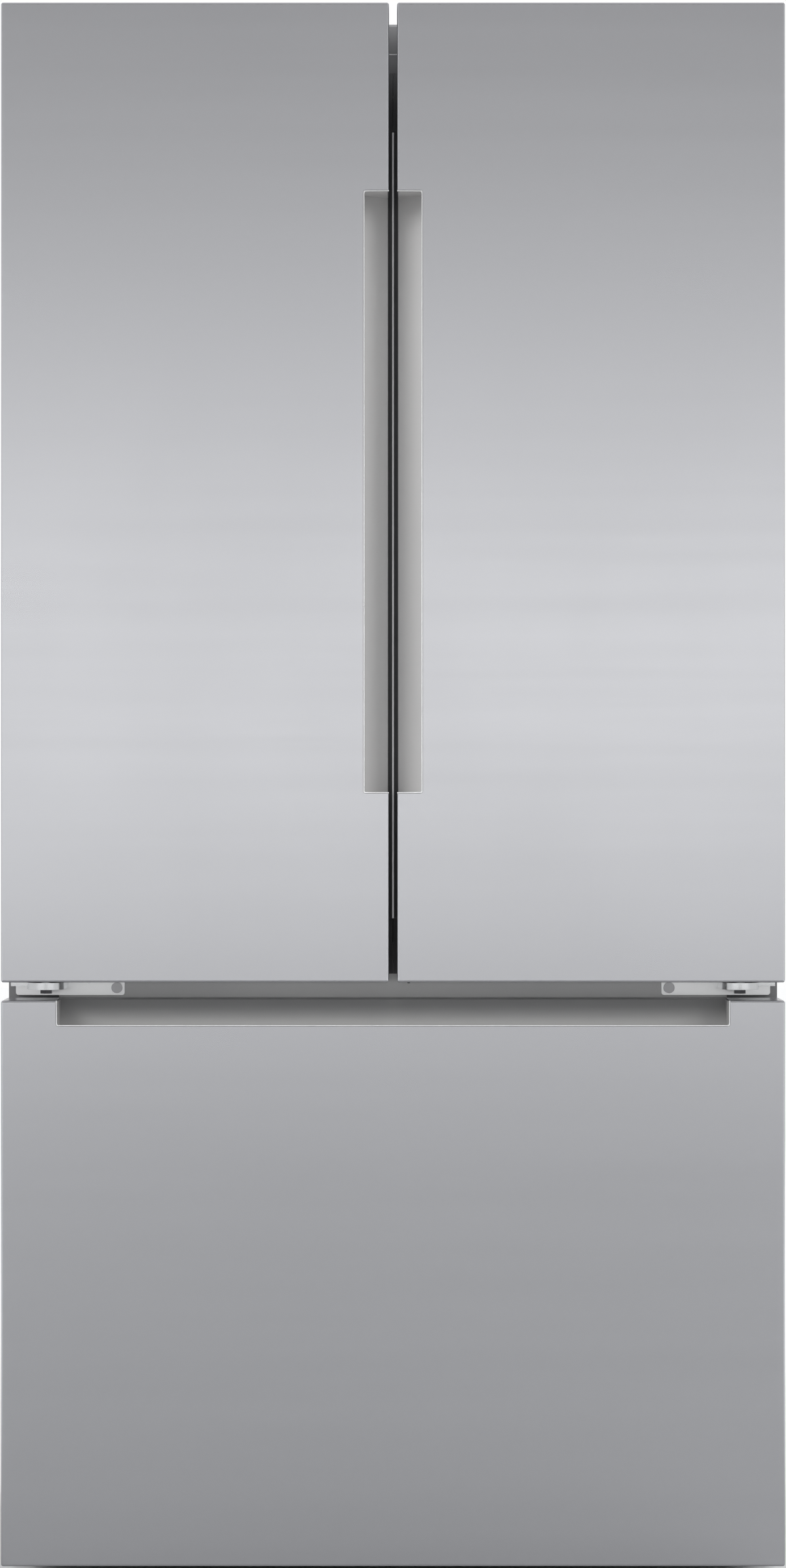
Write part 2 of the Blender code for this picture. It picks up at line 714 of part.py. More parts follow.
def light_cover():
    z = FRIDGE_TOP - FIT * 2

    def skin(bm):
        y = (depth(SHELF_FRONT) + 0.05, depth(SHELF_FRONT) + 0.17)
        loft(bm, [level_loop((-0.110, 0.110), y, z, 0.012, 3),
                  level_loop((-0.108, 0.108), (y[0] + 0.002, y[1] - 0.002), z - 0.010, 0.012, 3),
                  level_loop((-0.100, 0.100), (y[0] + 0.010, y[1] - 0.010), z - 0.016, 0.010, 3)],
                  fill_last=True)

    sheet("light_cover", skin, LINER, (0, 0, -1), "clear_bin")


# ---- Cooling system ----

def comb(bm, x, y, z, count, gap):
    """A block of fins: a solid back edge with slots cut in along x."""
    x0, x1 = x
    pitch = (x1 - x0) / count
    outline = [(x0, y[1]), (x0, y[0])]
    for i in range(count):
        right = x0 + (i + 1) * pitch
        if i < count - 1:
            outline += [(right - gap / 2, y[0]), (right - gap / 2, y[1] - 0.012),
                        (right + gap / 2, y[1] - 0.012), (right + gap / 2, y[0])]
        else:
            outline.append((right, y[0]))
    outline.append((x1, y[1]))
    prism(bm, outline, "Z", *z)


def fan_height():
    return FREEZER_TOP - 0.055


def evaporator_parts():
    """Fin block behind the freezer's rear cover, and the cover with the fan's ring."""
    cover = EVAPORATOR_COVER

    def panel(bm):
        block(bm, (-OPENING + FIT * 2, OPENING - FIT * 2), (cover, cover + LINER),
              (FREEZER_SHELF + FIT, FREEZER_TOP - FIT))

    def ring(bm):
        cylinder(bm, "Y", (0, cover, fan_height()), FAN_RADIUS + 0.003, 0.02, 24)

    def motor_bridge(bm):
        block(bm, (-FAN_RADIUS - 0.008, FAN_RADIUS + 0.008), (cover, cover + 0.0045),
              (fan_height() - 0.004, fan_height() + 0.004))

    def motor_boss(bm):
        cylinder(bm, "Y", (0, cover + 0.0075, fan_height()), 0.010, 0.009, 16)

    def air_slots(bm):
        for row in range(4):
            z = FREEZER_SHELF + 0.030 + row * 0.016
            for side in SIDES.values():
                block(bm, side_span(side, 0.06, 0.30), (cover - 0.005, cover + 0.007), (z, z + 0.006))

    def shaft_hole(bm):
        cylinder(bm, "Y", (0, cover + 0.012, fan_height()), 0.003 + FIT, 0.05, 12)

    grille = solid("evaporator_cover", panel, "liner_white")
    cut(grille, ring, air_slots)
    join(grille, motor_bridge, motor_boss)
    cut(grille, shaft_hole)

    def fins(bm):
        comb(bm, (-0.260, 0.260), (CAVITY_BACK - 0.055, CAVITY_BACK - FIT * 2),
             (FREEZER_SHELF + FIT, fan_height() - FAN_RADIUS - 0.020), 20, 0.010)

    solid("evaporator", fins, "aluminium")


def fan(name, axis, centre, shaft_length, shaft_shift, radius, colour="dark_plastic"):
    """Four pitched blades on a hub with a short shaft."""
    turn = {"X": Matrix.Rotation(pi / 2, 4, "Y"), "Y": Matrix.Rotation(-pi / 2, 4, "X")}[axis]
    hub_radius, hub_length = 0.012, 0.014

    def hub(bm):
        cylinder(bm, axis, centre, hub_radius, hub_length, 16)

    def shaft(bm):
        middle = Vector(centre)
        middle["XYZ".index(axis)] += shaft_shift
        cylinder(bm, axis, middle, 0.003, shaft_length, 12)

    def blade(number):
        def build(bm):
            turned = Matrix.Rotation(number * pi / 2, 4, "Z") @ Matrix.Rotation(radians(28), 4, "X")
            place = Matrix.Translation(centre) @ turn @ turned
            size = Matrix.Translation(((hub_radius + radius) / 2 - 0.002, 0, 0)) @ Matrix.Diagonal(
                (radius - hub_radius + 0.004, radius * 0.62, 0.0016, 1))
            bmesh.ops.create_cube(bm, size=1.0, matrix=place @ size)
        return build

    join(solid(name, hub, colour), shaft, *[blade(number) for number in range(4)])


def machine_room():
    """Compressor, condenser and the louvred rear cover."""
    floor = PAN_LEVEL + 0.0005 + 0.0015 + FIT
    middle_y = BACK - 0.105

    def can(bm):
        rings = [(0.0, 0.0), (0.050, 0.0), (0.064, 0.012), (0.066, 0.060), (0.066, 0.100), (0.056, 0.128),
                 (0.030, 0.142), (0.0, 0.145)]
        sides = 20
        loops = [[(0.210 + r * cos(2 * pi * i / sides), middle_y + r * sin(2 * pi * i / sides),
                   floor + 0.022 + h)
                  for i in range(sides)] for r, h in rings[1:-1]]
        loft(bm, loops, fill_last=True)
        bm.verts.ensure_lookup_table()
        bm.faces.new([bm.verts[i] for i in range(sides)][::-1])

    def mounting(bm):
        block(bm, (0.130, 0.290), (middle_y - 0.075, middle_y + 0.075), (floor + 0.018, floor + 0.023))

    def grommets(bm):
        for x in (0.142, 0.278):
            for y in (middle_y - 0.062, middle_y + 0.062):
                cylinder(bm, "Z", (x, y, floor + 0.0095), 0.010, 0.019, 12)

    join(solid("compressor", can, "black_steel"), mounting, grommets)

    def coil(bm):
        comb(bm, (-0.340, -0.130), (BACK - 0.180, BACK - 0.050), (floor, floor + 0.150), 16, 0.006)

    def bracket_hole(bm):
        cylinder(bm, "X", (-0.065, BACK - 0.107, floor + 0.078), 0.003 + FIT, 0.03, 12)

    def bracket_join(bm):
        block(bm, (-0.150, -0.058), (BACK - 0.120, BACK - 0.094), (floor, floor + 0.004))

    def bracket_post(bm):
        block(bm, (-0.068, -0.058), (BACK - 0.115, BACK - 0.099), (floor, floor + 0.092))

    condenser = solid("condenser", coil, "black_steel")
    join(condenser, bracket_join, bracket_post)
    cut(condenser, bracket_hole)
    fan("condenser_fan", "X", (-0.095, BACK - 0.107, floor + 0.078), 0.034, 0.020, FAN_RADIUS)

    half = HALF - SHEET - FIT

    def panel(bm):
        block(bm, (-half, half), (BACK - 0.012, BACK - 0.012 + SHEET),
              (PAN_LEVEL + 0.002, MACHINE_HEIGHT + 0.0095))

    def louvres(bm):
        pitch, slot = 0.130, 0.080
        columns = int((2 * half - 0.120) / pitch)
        for column in range(columns):
            x = (column - (columns - 1) / 2) * pitch - slot / 2
            for row in range(8):
                z = 0.085 + row * 0.022
                block(bm, (x, x + slot), (BACK - 0.02, BACK), (z, z + 0.008))

    def cord_inlet(bm):
        cylinder(bm, "Y", (HALF - 0.040, BACK - 0.0085, 0.090), 0.014, 0.016, 16)

    def cord_hole(bm):
        cylinder(bm, "Y", (HALF - 0.040, BACK - 0.01, 0.090), 0.0055, 0.04, 12)

    cover = solid("rear_cover", panel, "zinc")
    cut(cover, louvres)
    join(cover, cord_inlet)
    cut(cover, cord_hole)


# ---- Feet and rollers ----

def foot(name, side):
    """Levelling leg: a threaded stem in the base frame and a broad foot on the floor."""
    u, y = foot_places()

    def pad(bm):
        cylinder(bm, "Z", (side * u, y, 0.005), FOOT_RADIUS, 0.010, 20)

    def stem(bm):
        cylinder(bm, "Z", (side * u, y, 0.032), 0.005, 0.048, 16)

    def collar(bm):
        cylinder(bm, "Z", (side * u, y, 0.020), 0.009, 0.0215, 6)

    join(solid(name, pad, "dark_plastic"), stem, collar)


def roller(name, side):
    u, y = roller_places()
    centre = (side * u, y, ROLLER_RADIUS)

    def wheel(bm):
        cylinder(bm, "X", centre, ROLLER_RADIUS, 0.022, 24)

    def axle(bm):
        cylinder(bm, "X", centre, 0.004, 0.032, 12)

    join(solid(name, wheel, "dark_plastic"), axle)


# ---- Mullion ----

def mullion_axis():
    return (-MULLION_WIDTH / 2 + 0.006, CABINET + MULLION_DEPTH - 0.006)


def mullion():
    """Folding post behind the meeting door edges, with a steel strip that the two gaskets close on."""
    half = MULLION_WIDTH / 2
    front = CABINET + FIT
    low, high = FRIDGE_FLOOR + RUN, FRIDGE_TOP - RUN - 0.0005
    strip_low, strip_high = low + 0.028, high - 0.040
    strip_half = half - 0.004

    def post(bm):
        back = CABINET + MULLION_DEPTH
        corner = 0.005
        axis_x, axis_y = mullion_axis()
        swing = axis_y - front
        relief = swing - sqrt(swing ** 2 - (axis_x + half) ** 2)
        outline = [(axis_x, front), (half - MULLION_EDGE, front), (half, front + MULLION_EDGE),
                   (half, back - corner), (half - corner, back),
                   (-half + corner, back), (-half, back - corner), (-half, front + relief)]
        prism(bm, outline, "Z", low, high)

    def recess(bm):
        block(bm, (-strip_half - FIT, strip_half + FIT), (front - 0.01, front + MULLION_PLATE + FIT),
              (strip_low - FIT, strip_high + FIT))

    def pivots(bm):
        for z in (low, high):
            cylinder(bm, "Z", (*mullion_axis(), z), PIVOT_RADIUS, 0.010, 12)

    body = solid("mullion_post", post, "dark_plastic")
    cut(body, recess)
    join(body, pivots)

    def strip(bm):
        block(bm, (-strip_half, strip_half), (front, front + MULLION_PLATE), (strip_low, strip_high))

    solid("mullion_plate", strip, "stainless")


# ---- Doors ----

def front_tray(bm, x, z):
    """The folded steel skin of a door: front, four sides, open at the back, with rolled edges."""
    block(bm, x, (FRONT, depth(SKIN_DEPTH)), z)
    bm.faces.ensure_lookup_table()
    rear = max(bm.faces, key=lambda face: face.calc_center_median().y)
    bmesh.ops.delete(bm, geom=[rear], context="FACES")
    edges = [edge for edge in bm.edges if not edge.is_boundary]
    bmesh.ops.bevel(bm, geom=edges, offset=DOOR_EDGE, segments=3, profile=0.5, affect="EDGES", material=-1)


def handle_shapes(span):
    """The pocket's shapes in the handle's own axes: body, flange, rim, then what is hollowed out of them."""
    low, high = span
    reach = HANDLE_REACH
    under = reach + 0.008
    behind = SKIN + FIT
    edge = SKIN + DOOR_EDGE

    def body(bm):
        outline = [(behind, edge), (edge, behind), (under + 0.0045, behind), (under + 0.0045, 0.033),
                   (reach + 0.004, 0.0418),
                   (0.004, SKIN_DEPTH - 0.0005), (behind, SKIN_DEPTH - 0.0005)]
        prism(bm, outline, "Z", low - 0.003, high + 0.003)

    def flange(bm):
        block(bm, (edge, under + 0.0045), (behind, behind + 0.002), (low - 0.012, high + 0.012))

    def rim(bm):
        notch_prism(bm, low + FIT, high - FIT, reach - FIT, HANDLE_CORNER - FIT, 0.0, 0.0, behind + 0.001)

    def mouth(bm):
        notch_prism(bm, low + HANDLE_RIM, high - HANDLE_RIM, reach - HANDLE_RIM, HANDLE_CORNER - 0.001,
                    -0.005,
                    -0.002, 0.0050)

    def hollow(bm):
        outline = [(-0.005, 0.0040), (reach - HANDLE_RIM, 0.0040), (under, 0.013), (under, 0.030),
                   (reach + 0.001, HANDLE_LIP_DEPTH), (0.0, HANDLE_EDGE_DEPTH),
                   (-0.005, HANDLE_EDGE_DEPTH + 0.0036)]
        prism(bm, outline, "Z", low + HANDLE_RIM, high - HANDLE_RIM)

    return [body, flange, rim], [mouth, hollow]


def notch_prism(bm, low, high, reach, radius, start, front, back):
    """A slab of the notch's outline: square at the door's edge and rounded at the two lip corners."""
    outline = [(start, low)] + arc((reach - radius, low + radius), radius, -90, 0, 3)
    outline += arc((reach - radius, high - radius), radius, 0, 90, 3) + [(start, high)]
    prism(bm, outline, "Y", front, back)


def placed(build, matrix):
    """A builder whose shapes are moved by a matrix, and turned right side out again if it mirrors them."""
    def moved(bm):
        piece = bmesh.new()
        build(piece)
        bmesh.ops.transform(piece, matrix=matrix, verts=piece.verts[:])
        mesh = bpy.data.meshes.new("moved")
        piece.to_mesh(mesh)
        piece.free()
        bm.from_mesh(mesh)
        bpy.data.meshes.remove(mesh)
    return moved


def handle_matrix(side):
    """From the handle's own axes to a door's inner edge, or to the drawer's top edge for a side of 0."""
    if side:
        return Matrix.Translation((side * INNER_EDGE, FRONT, 0)) @ Matrix.Diagonal((side, 1, 1, 1))
    sideways = Matrix(((0, 0, 1, 0), (0, 1, 0, 0), (-1, 0, 0, 0), (0, 0, 0, 1)))
    return Matrix.Translation((0, FRONT, DRAWER_TOP)) @ sideways


def handle_pocket(name, side, span):
    added, removed = handle_shapes(span)
    matrix = handle_matrix(side)
    pocket = solid(name, placed(added[0], matrix), "handle_grey")
    join(pocket, *[placed(shape, matrix) for shape in added[1:]])
    cut(pocket, *[placed(shape, matrix) for shape in removed])


def notch_cutter(side, span):
    def build(bm):
        notch_prism(bm, span[0], span[1], HANDLE_REACH, HANDLE_CORNER, -0.006, -0.002, SKIN_DEPTH + 0.0005)
    return placed(build, handle_matrix(side))


def door_skin(word, side):
    x = side_span(side, INNER_EDGE, HALF)
    bm = bmesh.new()
    front_tray(bm, x, (DOOR_BOTTOM, HEIGHT))
    skin = finish_skin(f"{word}_door_skin", bm)
    cap_from = depth(0.0155)

    def cap_opening(bm):
        block(bm, side_span(side, INNER_EDGE + SKIN + FIT, HALF - SKIN - FIT), (cap_from, 0.0),
              (HEIGHT - 0.004, HEIGHT + 0.01))

    def arm_way(bm):
        block(bm, side_span(side, HALF - 0.004, HALF + 0.01), (depth(0.024), 0.0),
              (CASE_TOP + 0.0015, HEIGHT - 0.0035))

    def pin_hole(bm):
        cylinder(bm, "Z", (side * PIN_U, PIN_Y, DOOR_BOTTOM), PIN_RADIUS + FIT, 0.02, 16)

    cut(skin, notch_cutter(side, (HANDLE_LOW, HANDLE_HIGH)), cap_opening, arm_way, pin_hole)


def finish_skin(name, bm):
    bmesh.ops.recalc_face_normals(bm, faces=bm.faces[:])
    facing(bm, (0, -1, 0))
    return thicken(add_object(name, bm), SKIN, "stainless")


def door_top_cap(word, side):
    """Moulded cap that closes the door's top, with a deep slot for the hinge arm and a bore for its pin."""
    u0, u1 = INNER_EDGE + SKIN + FIT, HALF - SKIN - FIT
    y0, y1 = depth(0.0155 + FIT), depth(SKIN_DEPTH)
    low, high = CASE_TOP - 0.016, HEIGHT - 0.0005
    slot_u = PIN_U - 0.050

    def body(bm):
        block(bm, side_span(side, u0 + FIT, u1 - FIT), (y0, y1), (low, high))

    def hollow(bm):
        block(bm, side_span(side, u0 + 0.003, slot_u - 0.003), (y0 + 0.003, y1 - 0.003),
              (low - 0.01, high - 0.003))

    def arm_slot(bm):
        block(bm, side_span(side, slot_u, HALF + 0.01), (depth(0.024), y1 + 0.01),
              (CASE_TOP + 0.0015, high - 0.003))

    def pin_bore(bm):
        cylinder(bm, "Z", (side * PIN_U, PIN_Y, CASE_TOP), PIN_RADIUS + FIT, 0.026, 16)

    cut(solid(f"{word}_door_top_cap", body, "grey_plastic"), hollow, arm_slot, pin_bore)


def door_liner(word, side):
    """White inner panel: gasket flange, raised frame that carries the bins, and a sunk middle."""
    edge = SKIN + FIT
    low, high = DOOR_BOTTOM + edge, CASE_TOP - 0.0165 - FIT
    chamfer = HALF - 0.0255
    dike_u0, dike_u1 = DIKE_MIDDLE, OPENING - DIKE_INSET
    dike_z = (FRIDGE_FLOOR + DIKE_INSET, FRIDGE_TOP - DIKE_INSET)
    wide = DIKE_WIDTH

    def span(start, end):
        return side_span(side, start, end)

    def skin(bm):
        loft(bm, [
            rect_loop(span(INNER_EDGE + edge, HALF - edge), (low, high), depth(LINER_START), 0.002, 3),
            rect_loop(span(INNER_EDGE + edge, HALF - edge), (low, high), depth(SKIN_DEPTH + 0.001), 0.002, 3),
            rect_loop(span(INNER_EDGE + edge, chamfer), (low, high), depth(DOOR_DEPTH), 0.003, 3),
            rect_loop(span(dike_u0, dike_u1), dike_z, depth(DOOR_DEPTH), 0.012, 3),
            rect_loop(span(dike_u0 + 0.002, dike_u1 - 0.002), (dike_z[0] + 0.002, dike_z[1] - 0.002),
                      depth(DIKE_DEPTH), 0.010, 3),
            rect_loop(span(dike_u0 + wide, dike_u1 - wide), (dike_z[0] + wide, dike_z[1] - wide),
                      depth(DIKE_DEPTH), DIKE_CORNER, 3),
            rect_loop(span(dike_u0 + wide, dike_u1 - wide), (dike_z[0] + wide, dike_z[1] - wide),
                      depth(PAN_DEPTH), DIKE_CORNER, 3),
        ], fill_last=True)

    def handle_way(bm):
        block(bm, span(0, INNER_EDGE + HANDLE_REACH + 0.014),
              (depth(SKIN_DEPTH - 0.02), depth(SKIN_DEPTH - FIT)),
              (HANDLE_LOW - 0.014, HANDLE_HIGH + 0.014))

    cut(sheet(f"{word}_door_liner", skin, LINER, (0, 1, 0), "liner_white"), handle_way)


def gasket(name, base_outer, flat_outer, flat_inner, base_inner):
    """A closed magnetic seal; each argument is ((x0, x1), (z0, z1)) of one of its four corner lines."""
    y_base, y_flat = depth(DOOR_DEPTH + FIT), CABINET - FIT

    def ring(bm):
        loft(bm,
             [rect_loop(*base_outer, y_base), rect_loop(*flat_outer, y_flat), rect_loop(*flat_inner, y_flat),
                  rect_loop(*base_inner, y_base)], closed=True)

    solid(name, ring, "gasket")


def door_gasket(word, side):
    start, end = SEAL_START, SEAL_START + SEAL_FLAT
    outer, inner = end + SEAL_OUTER, SEAL_START - SEAL_INNER
    floor, top = FRIDGE_FLOOR, FRIDGE_TOP

    def loop(u0, reach):
        return side_span(side, u0, OPENING + reach), (floor - reach, top + reach)

    gasket(f"{word}_door_gasket", loop(INNER_EDGE + SKIN, outer), loop(0.0090, end), loop(0.0195, start),
           loop(0.0260, inner))


def bin_levels():
    """Undersides of the three door bins: the lowest on the liner's sill, the rest shared out above it."""
    low = FRIDGE_FLOOR + DIKE_INSET + DIKE_WIDTH + DIKE_CORNER + RUN
    high = FRIDGE_TOP - DIKE_INSET - DIKE_WIDTH
    pitch = (high - low) / 3
    return {"lower": low, "middle": low + pitch, "upper": low + 2 * pitch}


def door_bins(word, side):
    """Clear bins held between the raised sides of the door liner."""
    u0, u1 = DIKE_MIDDLE + DIKE_WIDTH + FIT * 2, OPENING - DIKE_INSET - DIKE_WIDTH - FIT * 2
    y0, y1 = depth(PAN_DEPTH + FIT * 2), depth(BIN_FRONT)

    for level, z in bin_levels().items():
        def skin(bm, z=z):
            loft(bm, [level_loop(side_span(side, u0, u1), (y0, y1), z + BIN_HEIGHT, 0.006, 3),
                      level_loop(side_span(side, u0 + 0.001, u1 - 0.001), (y0, y1 - 0.006), z, 0.010, 3)],
                 fill_last=True)

        bm = bmesh.new()
        skin(bm)
        bmesh.ops.recalc_face_normals(bm, faces=bm.faces[:])
        bm.normal_update()
        floor = min(bm.faces, key=lambda face: face.calc_center_median().z)
        if floor.normal.z > 0:
            bmesh.ops.reverse_faces(bm, faces=bm.faces[:])
        thicken(add_object(f"{word}_{level}_bin", bm), BIN_WALL, "clear_bin")


def door(word, side):
    door_skin(word, side)
    door_top_cap(word, side)
    door_liner(word, side)
    door_gasket(word, side)
    handle_pocket(f"{word}_handle_pocket", side, (HANDLE_LOW, HANDLE_HIGH))
    door_bins(word, side)


# ---- Freezer drawer ----

def rail_level():
    """Underside of the freezer slides, above the step in the freezer floor."""
    return FREEZER_SHELF + (FREEZER_TOP - FREEZER_SHELF) * 0.34


def freezer_front():
    """Drawer front: steel skin, pocket handle along its top edge, white inner panel and gasket."""
    bm = bmesh.new()
    front_tray(bm, (-HALF, HALF), (DRAWER_BOTTOM, DRAWER_TOP))
    skin = finish_skin("drawer_skin", bm)
    handle = (-HALF + DRAWER_HANDLE_END, HALF - DRAWER_HANDLE_END)
    cut(skin, notch_cutter(0, handle))
    handle_pocket("drawer_handle_pocket", 0, handle)

    edge = SKIN + FIT
    raised = 0.012
    span_x, span_z = (-HALF + edge, HALF - edge), (DRAWER_BOTTOM + edge, DRAWER_TOP - edge)
    inside = OPENING - raised

    def liner_skin(bm):
        loft(bm, [
            rect_loop(span_x, span_z, depth(LINER_START), 0.002, 3),
            rect_loop(span_x, span_z, depth(DOOR_DEPTH), 0.002, 3),
            rect_loop((-inside, inside), (FREEZER_SILL + raised, FREEZER_TOP - raised), depth(DOOR_DEPTH),
                      0.014, 3),
            rect_loop((-inside + 0.003, inside - 0.003),
                      (FREEZER_SILL + raised + 0.003, FREEZER_TOP - raised - 0.003),
                      depth(INNER_PANEL), 0.012, 3),
        ], fill_last=True)

    def handle_way(bm):
        block(bm, (handle[0] - 0.014, handle[1] + 0.014), (depth(SKIN_DEPTH - 0.02), depth(SKIN_DEPTH - FIT)),
              (DRAWER_TOP - HANDLE_REACH - 0.016, DRAWER_TOP + 0.01))

    cut(sheet("drawer_liner", liner_skin, LINER, (0, 1, 0), "liner_white"), handle_way)

    def loop(reach):
        return (-OPENING - reach, OPENING + reach), (FREEZER_SILL - reach, FREEZER_TOP + reach)

    end = SEAL_START + SEAL_FLAT
    gasket("drawer_gasket", loop(end + SEAL_OUTER), loop(end), loop(SEAL_START),
           loop(SEAL_START - SEAL_INNER))


def slide_spans():
    """Half-width places of the sliding bar and of the fixed rail beside it."""
    return (OPENING - 0.024, OPENING - 0.014), (OPENING - 0.013, OPENING - FIT * 2)


def freezer_slides(word, side):
    """A fixed rail on the cavity wall, and the bar that carries the drawer in it."""
    z = rail_level()
    bar, rail = slide_spans()
    start, end = depth(INNER_PANEL + FIT * 2), EVAPORATOR_COVER - 0.016

    def fixed(bm):
        y0, y1 = CABINET + 0.014, end + 0.004
        a, b = rail
        outline = [(side * a, z), (side * b, z), (side * b, z + RAIL_HEIGHT), (side * a, z + RAIL_HEIGHT),
                   (side * a, z + RAIL_HEIGHT - 0.007), (side * (b - 0.004), z + RAIL_HEIGHT - 0.007),
                   (side * (b - 0.004), z + 0.007), (side * a, z + 0.007)]
        prism(bm, outline, "Y", y0, y1)

    solid(f"{word}_freezer_rail", fixed, "zinc")

    def bar_body(bm):
        block(bm, side_span(side, bar[0], bar[1]), (start, end), (z - 0.002, z + RAIL_HEIGHT + 0.002))

    def tongue(bm):
        block(bm, side_span(side, bar[1] - 0.001, rail[1] - 0.0055), (start + 0.020, end - 0.002),
              (z + 0.007 + RUN / 2, z + RAIL_HEIGHT - 0.007 - RUN / 2))

    join(solid(f"drawer_{word}_slide", bar_body, "zinc"), tongue)


def freezer_basket():
    """Deep bin hung on the drawer's slides by ears along its rim."""
    bar = slide_spans()[0]
    z_top = rail_level() + RAIL_HEIGHT + 0.002 + FIT * 2
    half = bar[0] - 0.006
    y = (depth(INNER_PANEL + 0.003), FREEZER_FLOOR_END - 0.027)

    def skin(bm):
        loft(bm, [
            level_loop((-bar[1] + 0.001, bar[1] - 0.001), y, z_top + 0.003, 0.006, 2),
            level_loop((-half, half), (y[0] + 0.008, y[1] - 0.008), z_top + 0.003, 0.012, 2),
            level_loop((-half + 0.010, half - 0.010), (y[0] + 0.014, y[1] - 0.030), FREEZER_SILL + 0.014,
                       0.020, 2),
        ], fill_last=True)

    sheet("freezer_basket", skin, 0.003, (0, 0, 1), "liner_white")


def freezer_tray():
    """Shallow tray that slides to the back along the basket's rim."""
    bar = slide_spans()[0]
    z = rail_level() + RAIL_HEIGHT + 0.002 + FIT * 2 + 0.003 + RUN / 2
    y = (depth(INNER_PANEL + 0.006), EVAPORATOR_COVER - TRAY_TRAVEL - 0.054)
    top = FREEZER_TOP - TRAY_ROOM

    def skin(bm):
        half = bar[1] - 0.002
        loft(bm, [
            level_loop((-half, half), y, top, 0.008, 2),
            level_loop((-half + 0.006, half - 0.006), (y[0] + 0.006, y[1] - 0.006), top, 0.010, 2),
            level_loop((-half + 0.012, half - 0.012), (y[0] + 0.012, y[1] - 0.012), z + 0.003, 0.016, 2),
        ], fill_last=True)

    sheet("freezer_tray", skin, 0.003, (0, 0, 1), "clear_bin")


def clear_scene():
    for obj in list(bpy.data.objects):
        bpy.data.objects.remove(obj, do_unlink=True)


def build():
    clear_scene()
    cabinet_shell()
    back_panel()
    fridge_liner()
    freezer_liner()
    insulation_foam()
    cross_rail()
    base_frame()
    top_cover()
    shelves()
    fridge_drawers()
    air_duct_cover()
    light_cover()
    evaporator_parts()
    fan("evaporator_fan", "Y", (0, EVAPORATOR_COVER + 0.024, fan_height()), 0.030, -0.012, FAN_RADIUS)
    machine_room()
    mullion()
    freezer_front()
    freezer_basket()
    freezer_tray()
    for word, side in SIDES.items():
        top_hinge(f"{word}_top_hinge", side)
        centre_hinge(f"{word}_centre_hinge", side)
        foot(f"{word}_front_foot", side)
        roller(f"{word}_rear_roller", side)
        door(word, side)
        freezer_slides(word, side)


build()
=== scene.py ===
"""Looks of a french door refrigerator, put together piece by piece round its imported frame."""

from math import pi, radians

import bmesh
import bpy
from mathutils import Matrix, Vector


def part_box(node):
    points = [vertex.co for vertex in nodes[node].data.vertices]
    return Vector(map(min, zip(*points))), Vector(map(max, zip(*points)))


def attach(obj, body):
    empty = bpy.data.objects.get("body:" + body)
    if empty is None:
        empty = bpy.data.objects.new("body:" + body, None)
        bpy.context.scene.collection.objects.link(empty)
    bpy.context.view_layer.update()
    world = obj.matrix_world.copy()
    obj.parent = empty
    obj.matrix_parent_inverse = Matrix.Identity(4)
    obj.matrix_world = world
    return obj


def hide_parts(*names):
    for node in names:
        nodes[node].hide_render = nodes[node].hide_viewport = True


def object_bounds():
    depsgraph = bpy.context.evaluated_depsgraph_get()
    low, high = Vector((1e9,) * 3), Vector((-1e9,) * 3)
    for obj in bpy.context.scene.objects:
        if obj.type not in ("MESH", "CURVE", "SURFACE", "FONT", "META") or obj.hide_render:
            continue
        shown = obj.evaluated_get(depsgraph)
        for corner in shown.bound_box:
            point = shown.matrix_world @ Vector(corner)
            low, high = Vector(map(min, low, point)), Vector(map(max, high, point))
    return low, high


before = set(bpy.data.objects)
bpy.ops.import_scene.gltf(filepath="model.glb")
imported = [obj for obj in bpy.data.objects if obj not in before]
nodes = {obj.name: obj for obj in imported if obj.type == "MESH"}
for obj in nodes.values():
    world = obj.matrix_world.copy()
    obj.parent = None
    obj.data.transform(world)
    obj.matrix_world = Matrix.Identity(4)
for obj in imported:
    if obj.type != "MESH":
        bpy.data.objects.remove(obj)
packed_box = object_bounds()
SIDES = {"left": -1, "right": 1}


# ---- The room ----
# The appliance stands on a pale floor, seen square on from standing height at the far side of a kitchen.
# The room is lit softly, with a low bright band at the far side that the brushed steel picks up.

VIEW_DISTANCE = 4.9         # from the lens to the door fronts
VIEW_HEIGHT = 0.927
FOCAL_LENGTH = 97.5
front = packed_box[0].y

camera_data = bpy.data.cameras.new("camera")
camera_data.lens = FOCAL_LENGTH
camera_data.sensor_width = 36.0
camera_data.clip_end = 100.0
camera = bpy.data.objects.new("camera", camera_data)
camera.location = (0.0, front - VIEW_DISTANCE, VIEW_HEIGHT)
camera.rotation_euler = (pi / 2, 0.0, 0.0)
bpy.context.scene.collection.objects.link(camera)
bpy.context.scene.camera = camera
bpy.context.scene.view_settings.view_transform = "Standard"

FLOOR_REACH = 14.0          # from its middle to each edge
FLOOR_TONE = 0.76
# Painted reflection: to every ray but the camera's the floor takes these tones instead of its own, darker in
# the middle, where the doors mirror it, and lighter out at the sides.
MIRRORED_TONES = (0.32, 0.80)   # what the steel mirrors of it, in the middle and out at the sides
MIRRORED_SPAN = (1.0, 2.4)
FAR_LIFT = 0.55             # how much brighter it gets far away, where it meets the white beyond it
LIFT_SPAN = (1.5, 7.0)


def feed(tree, source, socket):
    """Gives a socket its value, which is another socket or plain numbers."""
    if isinstance(source, bpy.types.NodeSocket):
        tree.links.new(source, socket)
    else:
        socket.default_value = source


def arithmetic(tree, operation, first, second=0.0):
    """A Math node; each side is a socket or a number."""
    node = tree.nodes.new("ShaderNodeMath")
    node.operation = operation
    feed(tree, first, node.inputs[0])
    feed(tree, second, node.inputs[1])
    return node.outputs[0]


